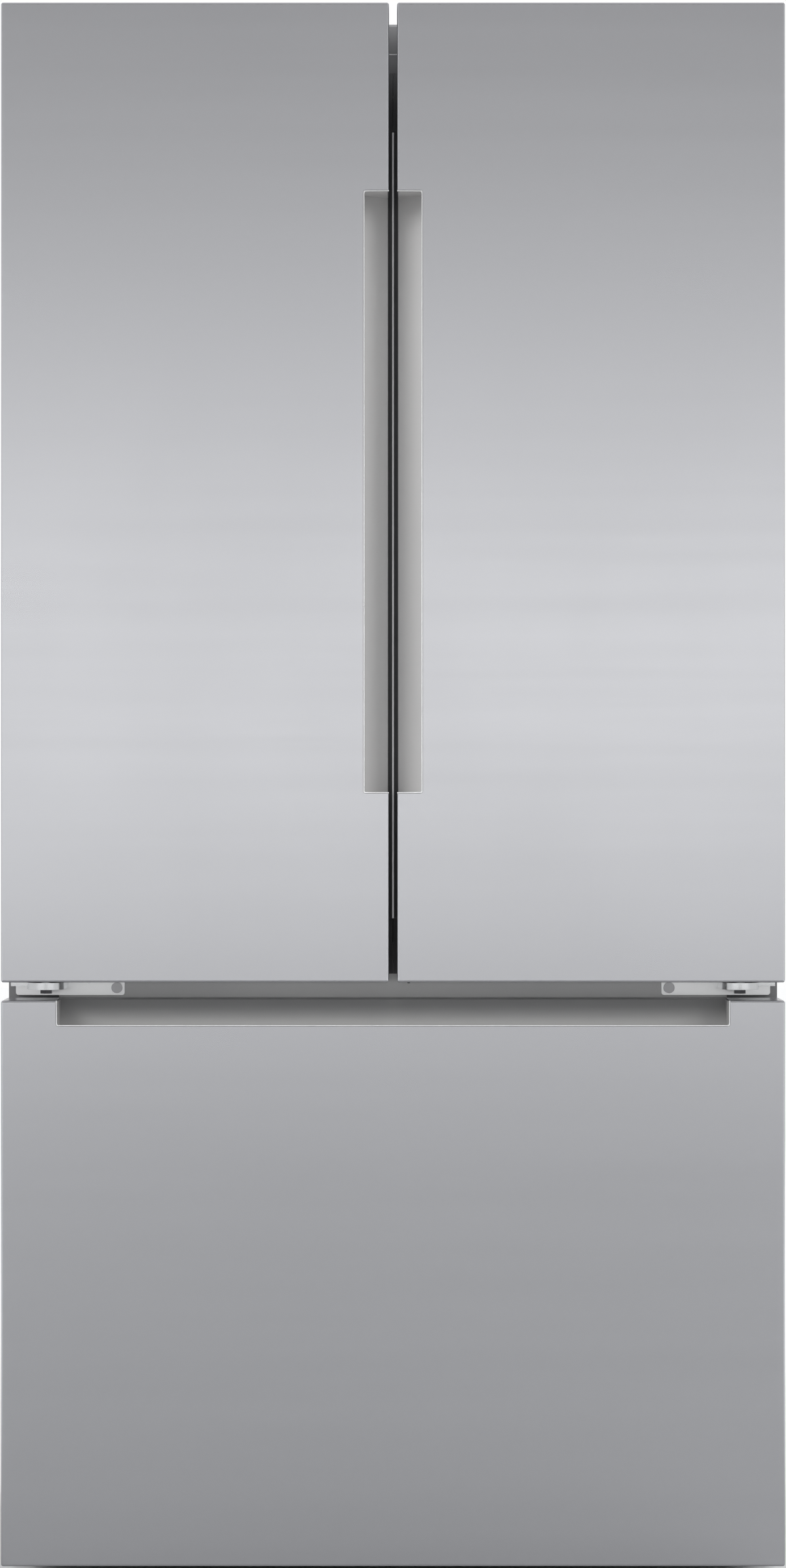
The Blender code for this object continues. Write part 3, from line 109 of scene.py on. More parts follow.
def mapped(tree, value, span, low, high, curve="LINEAR"):
    """Maps a value from a span onto low to high, each a socket or a number."""
    node = tree.nodes.new("ShaderNodeMapRange")
    node.interpolation_type = curve
    node.inputs["From Min"].default_value, node.inputs["From Max"].default_value = span
    feed(tree, value, node.inputs["Value"])
    feed(tree, low, node.inputs["To Min"])
    feed(tree, high, node.inputs["To Max"])
    return node.outputs["Result"]


floor_bm = bmesh.new()
bmesh.ops.create_grid(floor_bm, x_segments=1, y_segments=1, size=FLOOR_REACH)
floor_mesh = bpy.data.meshes.new("floor")
floor_bm.to_mesh(floor_mesh)
floor_bm.free()
floor = bpy.data.objects.new("floor", floor_mesh)
bpy.context.scene.collection.objects.link(floor)

floor_paint = bpy.data.materials.new("pale_floor")
floor_paint.use_nodes = True
floor_mesh.materials.append(floor_paint)
floor_tree = floor_paint.node_tree
floor_shader = floor_tree.nodes["Principled BSDF"]
floor_shader.inputs["Roughness"].default_value = 0.7
floor_shader.inputs["Specular IOR Level"].default_value = 0.2
floor_shader.inputs["Emission Color"].default_value = (1.0, 1.0, 1.0, 1.0)
floor_place = floor_tree.nodes.new("ShaderNodeTexCoord")
floor_seen = floor_tree.nodes.new("ShaderNodeLightPath").outputs["Is Camera Ray"]

floor_across = floor_tree.nodes.new("ShaderNodeSeparateXYZ")
floor_tree.links.new(floor_place.outputs["Object"], floor_across.inputs[0])
aside = arithmetic(floor_tree, "ABSOLUTE", floor_across.outputs["X"])
# Camera rays see the floor's own tone; all other rays see the painted reflection tones, darker in the middle.
floor_colour = floor_tree.nodes.new("ShaderNodeMix")
floor_colour.data_type = "RGBA"
floor_tree.links.new(floor_seen, floor_colour.inputs["Factor"])
floor_tree.links.new(mapped(floor_tree, aside, MIRRORED_SPAN, *MIRRORED_TONES), floor_colour.inputs["A"])
floor_colour.inputs["B"].default_value = (FLOOR_TONE, FLOOR_TONE, FLOOR_TONE, 1.0)
floor_tree.links.new(floor_colour.outputs["Result"], floor_shader.inputs["Base Color"])

floor_distance = floor_tree.nodes.new("ShaderNodeVectorMath")
floor_distance.operation = "LENGTH"
floor_tree.links.new(floor_place.outputs["Object"], floor_distance.inputs[0])
fade = mapped(floor_tree, floor_distance.outputs["Value"], LIFT_SPAN, 0.0, FAR_LIFT)
floor_tree.links.new(arithmetic(floor_tree, "MULTIPLY", floor_seen, fade),
                     floor_shader.inputs["Emission Strength"])


def lamp(name, place, aim, size, power):
    """A soft rectangular lamp, aimed at a point. Metal mirrors the room's own band, not the lamp."""
    data = bpy.data.lights.new(name, "AREA")
    data.shape = "RECTANGLE"
    data.size, data.size_y = size
    data.energy = power
    obj = bpy.data.objects.new(name, data)
    obj.location = place
    obj.rotation_euler = (Vector(aim) - Vector(place)).to_track_quat("-Z", "Y").to_euler()
    obj.visible_glossy = False
    bpy.context.scene.collection.objects.link(obj)


middle = (0.0, 0.0, 0.95)
lamp("front_left_lamp", (-3.4, -3.0, 3.4), middle, (2.4, 1.6), 120.0)
lamp("front_right_lamp", (3.6, -2.6, 3.0), middle, (2.0, 1.6), 85.0)
lamp("rear_lamp", (1.6, 4.0, 3.2), middle, (2.6, 1.6), 110.0)
lamp("ceiling_lamp", (0.0, -0.6, 4.6), middle, (3.0, 3.0), 70.0)

# Strength of the light that comes from each height, from straight down (0) to straight up (1): in front of
# the doors, and at the sides and behind.
ROOM_BAND = [(0.0, 0.30), (0.44, 0.24), (0.485, 0.60), (0.512, 2.9), (0.54, 0.70), (0.585, 0.28), (0.75, 0.4),
             (1.0, 0.6)]
ROOM_SIDES = [(0.0, 0.45), (0.44, 0.60), (0.52, 0.95), (0.62, 0.70), (1.0, 0.65)]
BAND_TOP = 3.5              # the strength that a full white in the bands stands for
BAND_SPREAD = (0.45, 0.80)  # how far round from the front the band fades, as the cosine of the angle
EVEN_COLOUR = (0.95, 0.975, 1.0, 1.0)
EVEN_STRENGTH = 0.55
world = bpy.data.worlds.new("room")
world.use_nodes = True
bpy.context.scene.world = world
room_tree = world.node_tree
room, wires = room_tree.nodes, room_tree.links
room.clear()
direction = room.new("ShaderNodeTexCoord")
height = room.new("ShaderNodeSeparateXYZ")
wires.new(direction.outputs["Generated"], height.inputs[0])
share = mapped(room_tree, height.outputs["Z"], (-1.0, 1.0), 0.0, 1.0)
ahead = mapped(room_tree, height.outputs["Y"], (-BAND_SPREAD[0], -BAND_SPREAD[1]), 0.0, 1.0, "SMOOTHSTEP")
both_bands = room.new("ShaderNodeMix")
both_bands.data_type = "RGBA"
wires.new(ahead, both_bands.inputs["Factor"])
for socket, strengths in (("A", ROOM_SIDES), ("B", ROOM_BAND)):
    band = room.new("ShaderNodeValToRGB")
    band.color_ramp.interpolation = "EASE"
    while len(band.color_ramp.elements) < len(strengths):
        band.color_ramp.elements.new(0.5)
    for element, (position, strength) in zip(band.color_ramp.elements, strengths):
        element.position = position
        element.color = (strength / BAND_TOP,) * 3 + (1.0,)
    wires.new(share, band.inputs["Fac"])
    wires.new(band.outputs["Color"], both_bands.inputs[socket])
reflected = room.new("ShaderNodeBackground")
reflected.inputs["Strength"].default_value = BAND_TOP
wires.new(both_bands.outputs["Result"], reflected.inputs["Color"])
even = room.new("ShaderNodeBackground")
even.inputs["Color"].default_value = EVEN_COLOUR
even.inputs["Strength"].default_value = EVEN_STRENGTH
white = room.new("ShaderNodeBackground")
white.inputs["Color"].default_value = (1.0, 1.0, 1.0, 1.0)
rays = room.new("ShaderNodeLightPath")
glossy_mix = room.new("ShaderNodeMixShader")
wires.new(rays.outputs["Is Glossy Ray"], glossy_mix.inputs["Fac"])
wires.new(even.outputs[0], glossy_mix.inputs[1])
wires.new(reflected.outputs[0], glossy_mix.inputs[2])
seen = arithmetic(room_tree, "MAXIMUM", rays.outputs["Is Camera Ray"], rays.outputs["Is Transmission Ray"])
white_mix = room.new("ShaderNodeMixShader")
wires.new(seen, white_mix.inputs["Fac"])
wires.new(glossy_mix.outputs[0], white_mix.inputs[1])
wires.new(white.outputs[0], white_mix.inputs[2])
room_out = room.new("ShaderNodeOutputWorld")
wires.new(white_mix.outputs[0], room_out.inputs["Surface"])


# ---- Door and drawer fronts ----
# Folded sheets of stainless steel, 1 mm thick, with rolled edges that turn back 65 mm round each front. The
# steel is belt-brushed across its width, so its grain lies level. Hands and cloths leave faint films.

def effect_group(name, inputs, outputs):
    """An empty shader node group with its sockets; inputs are (label, value), outputs are (label, kind)."""
    group = bpy.data.node_groups.new(name, "ShaderNodeTree")
    for label, value in inputs:
        kind = "NodeSocketVector" if isinstance(value, tuple) else "NodeSocketFloat"
        group.interface.new_socket(label, in_out="INPUT", socket_type=kind).default_value = value
    for label, kind in outputs:
        group.interface.new_socket(label, in_out="OUTPUT", socket_type=kind)
    return group, group.nodes.new("NodeGroupInput"), group.nodes.new("NodeGroupOutput")


def object_noise(group, scale, detail, roughness=0.5):
    """Noise on Object coordinates inside a group; scale is a socket or three numbers."""
    place = group.nodes.new("ShaderNodeTexCoord")
    stretch = group.nodes.new("ShaderNodeVectorMath")
    stretch.operation = "MULTIPLY"
    group.links.new(place.outputs["Object"], stretch.inputs[0])
    feed(group, scale, stretch.inputs[1])
    noise = group.nodes.new("ShaderNodeTexNoise")
    noise.inputs["Scale"].default_value = 1.0
    noise.inputs["Detail"].default_value = detail
    noise.inputs["Roughness"].default_value = roughness
    group.links.new(stretch.outputs[0], noise.inputs["Vector"])
    return noise.outputs["Fac"]


def mixture(group, first, share, second, rest):
    """Two noise values added in the given shares."""
    return arithmetic(group, "ADD", arithmetic(group, "MULTIPLY", first, share),
                      arithmetic(group, "MULTIPLY", second, rest))


NOISE_SPAN = (0.25, 0.75)   # where nearly all of a noise's values lie


def spread(group, value, low, high):
    """Maps a noise value, or a mixture of them, onto low to high, which may be sockets."""
    return mapped(group, value, NOISE_SPAN, low, high)


def put_out(group, given, out, value, swing):
    """Puts out a tone about 1 and a roughness about the given one, both swung by a noise value."""
    contrast, roughness = given.outputs["Contrast"], given.outputs["Roughness"]
    tone = spread(group, value, arithmetic(group, "SUBTRACT", 1.0, contrast),
                  arithmetic(group, "ADD", 1.0, contrast))
    group.links.new(tone, out.inputs["Tone"])
    rough = spread(group, value, arithmetic(group, "MULTIPLY", roughness, 1.0 - swing),
                   arithmetic(group, "MULTIPLY", roughness, 1.0 + swing))
    group.links.new(rough, out.inputs["Roughness"])


def make_grain():
    """Belt-brushed lines: a fine set, and broader bands that dull the steel unevenly."""
    group, given, out = effect_group(
        "brushed_grain", [("Stretch", (6.0, 60.0, 1500.0)), ("Contrast", 0.03), ("Roughness", 0.25)],
        [("Tone", "NodeSocketFloat"), ("Roughness", "NodeSocketFloat"), ("Height", "NodeSocketFloat")])
    fine = object_noise(group, given.outputs["Stretch"], 3.0, 0.65)
    bands = object_noise(group, (0.7, 9.0, 42.0), 2.0)
    put_out(group, given, out, mixture(group, fine, 0.65, bands, 0.35), 0.08)
    group.links.new(fine, out.inputs["Height"])
    return group


def make_film():
    """The film that hands, cloths and kitchen air leave: cloudy patches with fine specks in them."""
    group, given, out = effect_group(
        "wiped_film", [("Patch", (3.0, 3.0, 1.6)), ("Amount", 0.05)],
        [("Clean", "NodeSocketFloat"), ("Film", "NodeSocketFloat")])
    clouds = object_noise(group, given.outputs["Patch"], 4.0, 0.55)
    specks = object_noise(group, (420.0, 420.0, 420.0), 1.0)
    film = spread(group, mixture(group, clouds, 0.96, specks, 0.04), 0.0, given.outputs["Amount"])
    group.links.new(film, out.inputs["Film"])
    group.links.new(arithmetic(group, "SUBTRACT", 1.0, film), out.inputs["Clean"])
    return group


brushed_grain = make_grain()
wiped_film = make_film()


class Finish:
    """A material with its Principled shader, and the effects that are placed in it."""

    def __init__(self, name, colour, roughness, metallic=0.0):
        self.material = bpy.data.materials.new(name)
        self.material.use_nodes = True
        self.nodes = self.material.node_tree.nodes
        self.links = self.material.node_tree.links
        self.shader = self.nodes["Principled BSDF"]
        self.colour = colour
        self.shader.inputs["Base Color"].default_value = (*colour, 1.0)
        self.shader.inputs["Roughness"].default_value = roughness
        self.shader.inputs["Metallic"].default_value = metallic

    def effect(self, group, **values):
        """Places an effect group, with the values given for its inputs (an underscore stands for a space)."""
        node = self.nodes.new("ShaderNodeGroup")
        node.node_tree = group
        for label, value in values.items():
            node.inputs[label.replace("_", " ")].default_value = value
        return node

    def tone(self, *values):
        """Multiplies the base colour by each value."""
        socket = None
        for value in values:
            mix = self.nodes.new("ShaderNodeVectorMath")
            mix.operation = "SCALE"
            if socket is None:
                mix.inputs[0].default_value = self.colour
            else:
                self.links.new(socket, mix.inputs[0])
            self.links.new(value, mix.inputs["Scale"])
            socket = mix.outputs[0]
        self.links.new(socket, self.shader.inputs["Base Color"])

    def roughness(self, value, extra=None):
        """Sets the roughness from a value, with more of it where there is film."""
        if extra is not None:
            value = arithmetic(self.material.node_tree, "ADD", value, extra)
        self.links.new(value, self.shader.inputs["Roughness"])

    def relief(self, value, distance):
        """Raises the surface by a height value, in metres at full height."""
        bump = self.nodes.new("ShaderNodeBump")
        bump.inputs["Distance"].default_value = distance
        self.links.new(value, bump.inputs["Height"])
        self.links.new(bump.outputs["Normal"], self.shader.inputs["Normal"])


def brushed_metal(name, colour, roughness, contrast, stretch, depth, film=0.04):
    """Metal with a grain; stretch is how fine it is along each axis, and depth its height in metres."""
    finish = Finish(name, colour, roughness, 1.0)
    grain = finish.effect(brushed_grain, Stretch=stretch, Contrast=contrast, Roughness=roughness)
    wipes = finish.effect(wiped_film, Amount=film)
    finish.tone(grain.outputs["Tone"], wipes.outputs["Clean"])
    finish.roughness(grain.outputs["Roughness"], wipes.outputs["Film"])
    finish.relief(grain.outputs["Height"], depth)
    return finish.material


door_steel = brushed_metal("brushed_door_steel", (0.600, 0.604, 0.629), 0.235, 0.015, (5.0, 5.0, 1300.0),
                           0.0000005, 0.015)
# Bright steel: the polished trims of the shelves and bins, and also painted highlights on the grips' front
# rims and along the case's top edge.
trim_steel_and_highlight = brushed_metal("bright_trim_and_highlight_steel", (0.90, 0.905, 0.915), 0.24, 0.01, (40.0, 40.0, 900.0),
                           0.000001)
CREASE = radians(35.0)      # an edge that turns more than this is sharp
MERGE = 0.000002
FLAT = radians(0.3)


def copy_of(node):
    """The shape of a frame part as one clean mesh, ready to be worked on."""
    bm = bmesh.new()
    bm.from_mesh(nodes[node].data)
    bmesh.ops.remove_doubles(bm, verts=bm.verts[:], dist=MERGE)
    bmesh.ops.dissolve_limit(bm, angle_limit=FLAT, verts=bm.verts[:], edges=bm.edges[:])
    return bm


def ease(bm, width, segments=2, where=None):
    """Takes the arrises off a shape: rounds its sharp edges, or those of them that a test picks."""
    sharp = [edge for edge in bm.edges if len(edge.link_faces) == 2
             and edge.calc_face_angle() > CREASE and (where is None or where(edge))]
    bmesh.ops.bevel(bm, geom=sharp, offset=width, segments=segments, profile=0.5, affect="EDGES",
                    clamp_overlap=True, material=-1)
    return bm


def piece(name, bm, finishes, body, replaced=()):
    """Turns a mesh into a piece that rides on a body; finishes is one material or several."""
    mesh = bpy.data.meshes.new(name)
    bm.to_mesh(mesh)
    bm.free()
    mesh.shade_smooth()
    mesh.set_sharp_from_angle(angle=CREASE)
    obj = bpy.data.objects.new(name, mesh)
    bpy.context.scene.collection.objects.link(obj)
    flat = obj.modifiers.new("flat faces stay flat", "WEIGHTED_NORMAL")
    flat.weight = 100
    flat.keep_sharp = True
    for finish in finishes if isinstance(finishes, (list, tuple)) else [finishes]:
        mesh.materials.append(finish)
    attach(obj, body)
    if replaced:
        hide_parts(*replaced)
    return obj


def dress(node, name, finish, body, width=0.0):
    """Stands a piece in for a frame part: its shape, with its arrises rounded where a width is given."""
    bm = copy_of(node)
    if width:
        ease(bm, width)
    piece(name, bm, finish, body, [node])


for word in SIDES:
    dress(f"{word}_door_skin", f"{word}_door_front", door_steel, f"{word}_door")
dress("drawer_skin", "drawer_front", door_steel, "freezer_drawer")


# ---- Pocket handles ----
# One moulded grey pocket for each front, snapped into a notch in the steel's edge. All are one plastic:
# the doors' lighter grey is painted light, and the drawer's darker grey painted shade. A bright steel strip
# frames the notch, partly the insert's rim and partly a painted highlight of the rounded edge; fingers hook
# behind the lip at the far side.

def make_moulding():
    """The fine spark-eroded texture of a mould, with slow changes of tone from the flow of the plastic."""
    group, given, out = effect_group(
        "moulded_skin", [("Grain", 900.0), ("Contrast", 0.04), ("Roughness", 0.45)],
        [("Tone", "NodeSocketFloat"), ("Roughness", "NodeSocketFloat"), ("Height", "NodeSocketFloat")])
    scale = group.nodes.new("ShaderNodeCombineXYZ")
    for index in range(3):
        group.links.new(given.outputs["Grain"], scale.inputs[index])
    grain = object_noise(group, scale.outputs[0], 2.0)
    flow = object_noise(group, (5.0, 9.0, 3.0), 3.0)
    put_out(group, given, out, mixture(group, grain, 0.5, flow, 0.5), 0.12)
    group.links.new(grain, out.inputs["Height"])
    return group


moulded_skin = make_moulding()


def moulded_plastic(name, colour, roughness, grain=900.0, contrast=0.03, depth=0.00003, film=0.03):
    """Plastic or rubber with the skin of its mould; depth is the skin's height in metres."""
    finish = Finish(name, colour, roughness)
    skin = finish.effect(moulded_skin, Grain=grain, Contrast=contrast, Roughness=roughness)
    wipes = finish.effect(wiped_film, Amount=film)
    finish.tone(skin.outputs["Tone"], wipes.outputs["Clean"])
    finish.roughness(skin.outputs["Roughness"], wipes.outputs["Film"])
    finish.relief(skin.outputs["Height"], depth)
    return finish.material


# Lit and shaded copies of one grip plastic: painted light in the doors, painted shade in the drawer.
door_grip_painted_lit = moulded_plastic("grip_plastic_painted_light", (0.64, 0.632, 0.628), 0.40, contrast=0.012)
drawer_grip_painted_shade = moulded_plastic("grip_plastic_painted_shade", (0.42, 0.415, 0.41), 0.42, contrast=0.015)
RIM_DEPTH = 0.0012      # how far back the bright strip reaches
GRIP_ARRIS = 0.0004
SHORTEST_ARRIS = 0.002


def grip(node, name, body, finish):
    """A pocket with softened arrises, whose rim at the front is the bright strip."""
    bm = ease(copy_of(node), GRIP_ARRIS, where=lambda edge: edge.calc_length() > SHORTEST_ARRIS)
    # Faces at the front rim take the bright steel: a painted highlight of the rounded edge, over the insert's
    # own rim.
    for face in bm.faces:
        if face.calc_center_median().y < front + RIM_DEPTH:
            face.material_index = 1
    piece(name, bm, [finish, trim_steel_and_highlight], body, [node])


for word in SIDES:
    grip(f"{word}_handle_pocket", f"{word}_grip_pocket", f"{word}_door", door_grip_painted_lit)
grip("drawer_handle_pocket", "drawer_grip_pocket", "freezer_drawer", drawer_grip_painted_shade)


# ---- Door seals ----
# Soft black magnetic gaskets, pushed into a groove in each door liner. In the middle each one ends in a thin
# lip, and the two lips nearly meet over the mullion's steel plate.

def slab(bm, low, high):
    """A box between two corners."""
    low, high = Vector(low), Vector(high)
    bmesh.ops.create_cube(bm, size=1.0, matrix=Matrix.Translation((low + high) / 2)
                          @ Matrix.Diagonal((*(high - low), 1.0)))


def bar(name, low, high, width, finish, body, segments=2):
    """A block between two corners, with rounded arrises, as a piece of its own."""
    bm = bmesh.new()
    slab(bm, low, high)
    piece(name, ease(bm, width, segments), finish, body)


gasket_rubber = moulded_plastic("gasket_rubber", (0.075, 0.075, 0.078), 0.55, 500.0, 0.04, 0.00002, 0.05)
# The lips are the gaskets' own rubber in a lighter grey: painted light, so that they show grey in the deep,
# dim gap.
lip_rubber_painted_lit = moulded_plastic("lip_rubber_painted_lit", (0.16, 0.16, 0.165), 0.40, 500.0, 0.04, 0.00002, 0.05)
SEAL_ARRIS = 0.0012
LIP_ARRIS = 0.0004
LIP_GAP = 0.0009        # from the middle plane to the lip's tip
LIP_ROOT = 0.002        # how far the lip reaches into the gasket's width
LIP_THICK = 0.0016
LIP_ROOM = 0.0006       # between the lips and the mullion's plate
LIP_END = 0.0055        # from the door's lower edge up to the lip's end
LIP_CUT = 0.0001        # left free at each end of a stretch of lip
CLOSED_GAP = 0.0001     # from the middle plane to the lips above and below the plate
plate_low, plate_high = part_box("mullion_plate")
right_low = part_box("right_door_skin")[0]

for word, side in SIDES.items():
    dress(f"{word}_door_gasket", f"{word}_door_seal", gasket_rubber, f"{word}_door", SEAL_ARRIS)
    seal_low, seal_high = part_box(f"{word}_door_gasket")
    inner = seal_high.x if side < 0 else seal_low.x
    lip = bmesh.new()
    for low, high, reach in ((plate_low.z, plate_high.z, LIP_GAP),
                             (right_low.z + LIP_END, plate_low.z, CLOSED_GAP),
                             (plate_high.z, seal_high.z, CLOSED_GAP)):
        across = sorted((side * reach, inner + side * LIP_ROOT))
        slab(lip, (across[0], plate_low.y - LIP_ROOM - LIP_THICK, low + LIP_CUT),
             (across[1], plate_low.y - LIP_ROOM, high - LIP_CUT))
    piece(f"{word}_seal_lip", ease(lip, LIP_ARRIS), lip_rubber_painted_lit, f"{word}_door")
dress("drawer_gasket", "drawer_seal", gasket_rubber, "freezer_drawer", SEAL_ARRIS)


# ---- Edge plug ----
# A small dark plug stands in the right door's lower edge, beside the gap. It has the gaskets' black rubber
# and stands about a millimetre proud of the edge.

PLUG_RADIUS = 0.0015
PLUG_LENGTH = 0.0024
PLUG_IN = 0.0135        # from the door's inner side
PLUG_BACK = 0.006       # from the door's front
plug = bmesh.new()
bmesh.ops.create_cone(plug, cap_ends=True, segments=16, radius1=PLUG_RADIUS, radius2=PLUG_RADIUS,
                      depth=PLUG_LENGTH,
                      matrix=Matrix.Translation((right_low.x + PLUG_IN, front + PLUG_BACK, right_low.z)))
piece("right_door_edge_plug", ease(plug, 0.0004), gasket_rubber, "right_door")


# ---- Mullion ----
# A folding post of dark plastic that closes the gap behind the doors, with a heated steel plate on its face
# for the gaskets' magnets. It turns on two pivots in the cabinet.

dark_plastic = moulded_plastic("dark_moulded_plastic", (0.030, 0.030, 0.032), 0.45)
plate_steel = brushed_metal("mullion_plate_steel", (0.78, 0.78, 0.79), 0.30, 0.01, (1200.0, 40.0, 4.0),
                            0.0000002)
PLATE_FRAME = 0.0015    # how far behind the plate the post's rounded edges start
behind_plate = plate_high.y + PLATE_FRAME
post = ease(copy_of("mullion_post"), 0.0008,
            where=lambda edge: all(vert.co.y > behind_plate for vert in edge.verts))
piece("folding_post", post, dark_plastic, "mullion", ["mullion_post"])
dress("mullion_plate", "post_face_plate", plate_steel, "mullion")


# ---- Cabinet ----
# A folded steel wrapper in dark grey textured powder paint, closed by a galvanised back panel and standing on
# a base frame of zinc-plated steel. The rail between the doors and the drawer has a smoother, lighter paint.

def powder_paint(name, colour, roughness, lump, depth, metallic=0.0):
    """Baked paint with lumps; lump is how many there are to the metre, and depth their height in metres."""
    finish = Finish(name, colour, roughness, metallic)
    skin = finish.effect(moulded_skin, Grain=lump, Contrast=0.05, Roughness=roughness)
    wipes = finish.effect(wiped_film, Patch=(2.0, 2.0, 2.0), Amount=0.06)
    finish.tone(skin.outputs["Tone"], wipes.outputs["Clean"])
    finish.roughness(skin.outputs["Roughness"], wipes.outputs["Film"])
    finish.relief(skin.outputs["Height"], depth)
    return finish.material


case_paint = powder_paint("textured_case_paint", (0.21, 0.21, 0.215), 0.42, 420.0, 0.00012)
rail_paint = powder_paint("smooth_rail_paint", (0.46, 0.46, 0.462), 0.36, 900.0, 0.00001, 0.7)
zinc_plate = brushed_metal("zinc_plated_steel", (0.70, 0.71, 0.72), 0.30, 0.03, (70.0, 70.0, 70.0), 0.000003)


def galvanised():
    """Hot-dipped zinc: frosty spangles a few millimetres across, each with a tone of its own."""
    finish = Finish("galvanised_sheet", (0.60, 0.61, 0.62), 0.42, 1.0)
    place = finish.nodes.new("ShaderNodeTexCoord")
    spangle = finish.nodes.new("ShaderNodeTexVoronoi")
    spangle.inputs["Scale"].default_value = 130.0
    finish.links.new(place.outputs["Object"], spangle.inputs["Vector"])
    flake = finish.nodes.new("ShaderNodeSeparateXYZ")
    finish.links.new(spangle.outputs["Color"], flake.inputs[0])
    tone = spread(finish.material.node_tree, flake.outputs["X"], 0.95, 1.03)
    wipes = finish.effect(wiped_film, Amount=0.10)
    finish.tone(tone, wipes.outputs["Clean"])
    finish.roughness(spread(finish.material.node_tree, flake.outputs["Y"], 0.38, 0.44), wipes.outputs["Film"])
    finish.relief(flake.outputs["Z"], 0.000006)
    return finish.material


zinc_sheet = galvanised()
dress("outer_wrapper", "case_wrapper", case_paint, "cabinet", 0.0005)
dress("cross_rail", "front_rail", rail_paint, "cabinet", 0.0008)
dress("back_panel", "back_sheet", zinc_sheet, "cabinet")
dress("base_frame", "base_tray", zinc_sheet, "cabinet", 0.0004)
dress("rear_cover", "machine_cover", zinc_sheet, "cabinet")

SCREW_HEAD = 0.0042     # radius
HEAD_HEIGHT = 0.002
COVER_FLANGE = 0.0119   # from the cover's rearmost face in to its flange
SCREW_EDGE = 0.012      # from the cover's upper edge
PANEL_EDGE = 0.02       # from the back panel's upper edge


def pan_screw(bm, place, outwards):
    """A pan-head screw with a crossed recess, its head looking outwards."""
    turn = Vector(outwards).to_track_quat("Z", "Y").to_matrix().to_4x4()
    shape = bmesh.new()
    bmesh.ops.create_cone(shape, cap_ends=True, segments=20, radius1=SCREW_HEAD, radius2=SCREW_HEAD,
                          depth=HEAD_HEIGHT, matrix=Matrix.Translation((0, 0, HEAD_HEIGHT / 2)))
    rim = [edge for edge in shape.edges if all(vert.co.z > HEAD_HEIGHT * 0.75 for vert in edge.verts)]
    bmesh.ops.bevel(shape, geom=rim, offset=SCREW_HEAD * 0.28, segments=3, profile=0.5, affect="EDGES",
                    material=-1)
    for angle in (0.0, pi / 2):
        slot = bmesh.ops.create_cube(shape, size=1.0, matrix=Matrix.Translation((0, 0, 0.00195))
                                     @ Matrix.Rotation(angle, 4, "Z")
                                     @ Matrix.Diagonal((SCREW_HEAD * 1.1, SCREW_HEAD * 0.22, 0.00024, 1.0)))
        for face in {face for vert in slot["verts"] for face in vert.link_faces}:
            face.material_index = 1
    bmesh.ops.transform(shape, matrix=Matrix.Translation(place) @ turn, verts=shape.verts[:])
    mesh = bpy.data.meshes.new("screw")
    shape.to_mesh(mesh)
    shape.free()
    bm.from_mesh(mesh)
    bpy.data.meshes.remove(mesh)


def back_screws(name, places):
    """Screws in the back of the case, as one piece."""
    bm = bmesh.new()
    for place in places:
        pan_screw(bm, place, (0, 1, 0))
    piece(name, bm, [zinc_plate, dark_plastic], "cabinet")


cover_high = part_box("rear_cover")[1]
panel_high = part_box("back_panel")[1]
back_screws("cover_screws", [(x, cover_high.y - COVER_FLANGE, cover_high.z - SCREW_EDGE)
                             for x in (-0.42, -0.21, 0.0, 0.21, 0.42)])
back_screws("panel_screws",
            [(x, panel_high.y, z) for x in (-0.43, 0.43) for z in (0.50, 0.80, 1.10, 1.40, 1.70)]
            + [(x, panel_high.y, panel_high.z - PANEL_EDGE) for x in (-0.22, 0.0, 0.22)])


# ---- Foam ----
# Rigid polyurethane, foamed in place between the wrapper and the liners, so that it fills the space and
# glues them together. It is closed in all round.

foam = moulded_plastic("yellow_foam", (0.80, 0.70, 0.42), 0.85, 260.0, 0.12, 0.0004, 0.02)


def repaint(node, finish):
    """Gives a frame part that keeps its own shape a finish."""
    nodes[node].data.materials.clear()
    nodes[node].data.materials.append(finish)


repaint("insulation_foam", foam)


# ---- Hinge cover and hinges ----
# The top hinges are zinc-plated plates on the case, under a grey moulded cover. The centre hinges are thicker
# plates on the rail, with a chromed arm under each door, a dark nut below and a screw beside it.

cover_grey = moulded_plastic("hinge_cover_plastic", (0.20, 0.20, 0.205), 0.45)
dress("top_cover", "hinge_cover", cover_grey, "cabinet", 0.0006)

HIGHLIGHT_IN = 0.010         # from the case's sides
HIGHLIGHT_HEIGHT = 0.0008
case_low, case_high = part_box("outer_wrapper")
cover_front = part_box("top_cover")[0].y
# A thin strip of bright steel along the case's top front edge, under the cover: partly the bare steel of the
# edge, partly a painted highlight where the rounded edge catches light.
bar("case_edge_strip_and_highlight", (case_low.x + HIGHLIGHT_IN, case_low.y + 0.0004, case_high.z + 0.0001),
    (case_high.x - HIGHLIGHT_IN, cover_front - 0.0003, case_high.z + 0.0001 + HIGHLIGHT_HEIGHT), 0.0002, trim_steel_and_highlight,
    "cabinet")

chrome = brushed_metal("chromed_steel", (0.76, 0.77, 0.78), 0.16, 0.01, (300.0, 300.0, 300.0), 0.000001, 0.03)
blackened = brushed_metal("blackened_steel", (0.09, 0.09, 0.095), 0.4, 0.05, (500.0, 500.0, 500.0), 0.000004)
hinge_zinc = brushed_metal("polished_hinge_zinc", (0.75, 0.755, 0.76), 0.27, 0.02, (70.0, 70.0, 70.0),
                           0.000002)
bolt_steel = brushed_metal("bolt_steel", (0.36, 0.36, 0.37), 0.28, 0.04, (500.0, 500.0, 500.0), 0.000002)
NUT_DROP = 0.0101       # from the doors' lower edge down to the nut
NUT_BACK = 0.058        # the nut lies nearer the fronts than this
PLATE_BACK = 0.095      # the plate on the rail lies further back than this
BOLT_OUT = 0.3252       # from the middle plane to the screw beside the arm
BOLT_RADIUS = 0.0070
BOLT_BACK = 0.1004      # the screw's head lies nearer the fronts than this
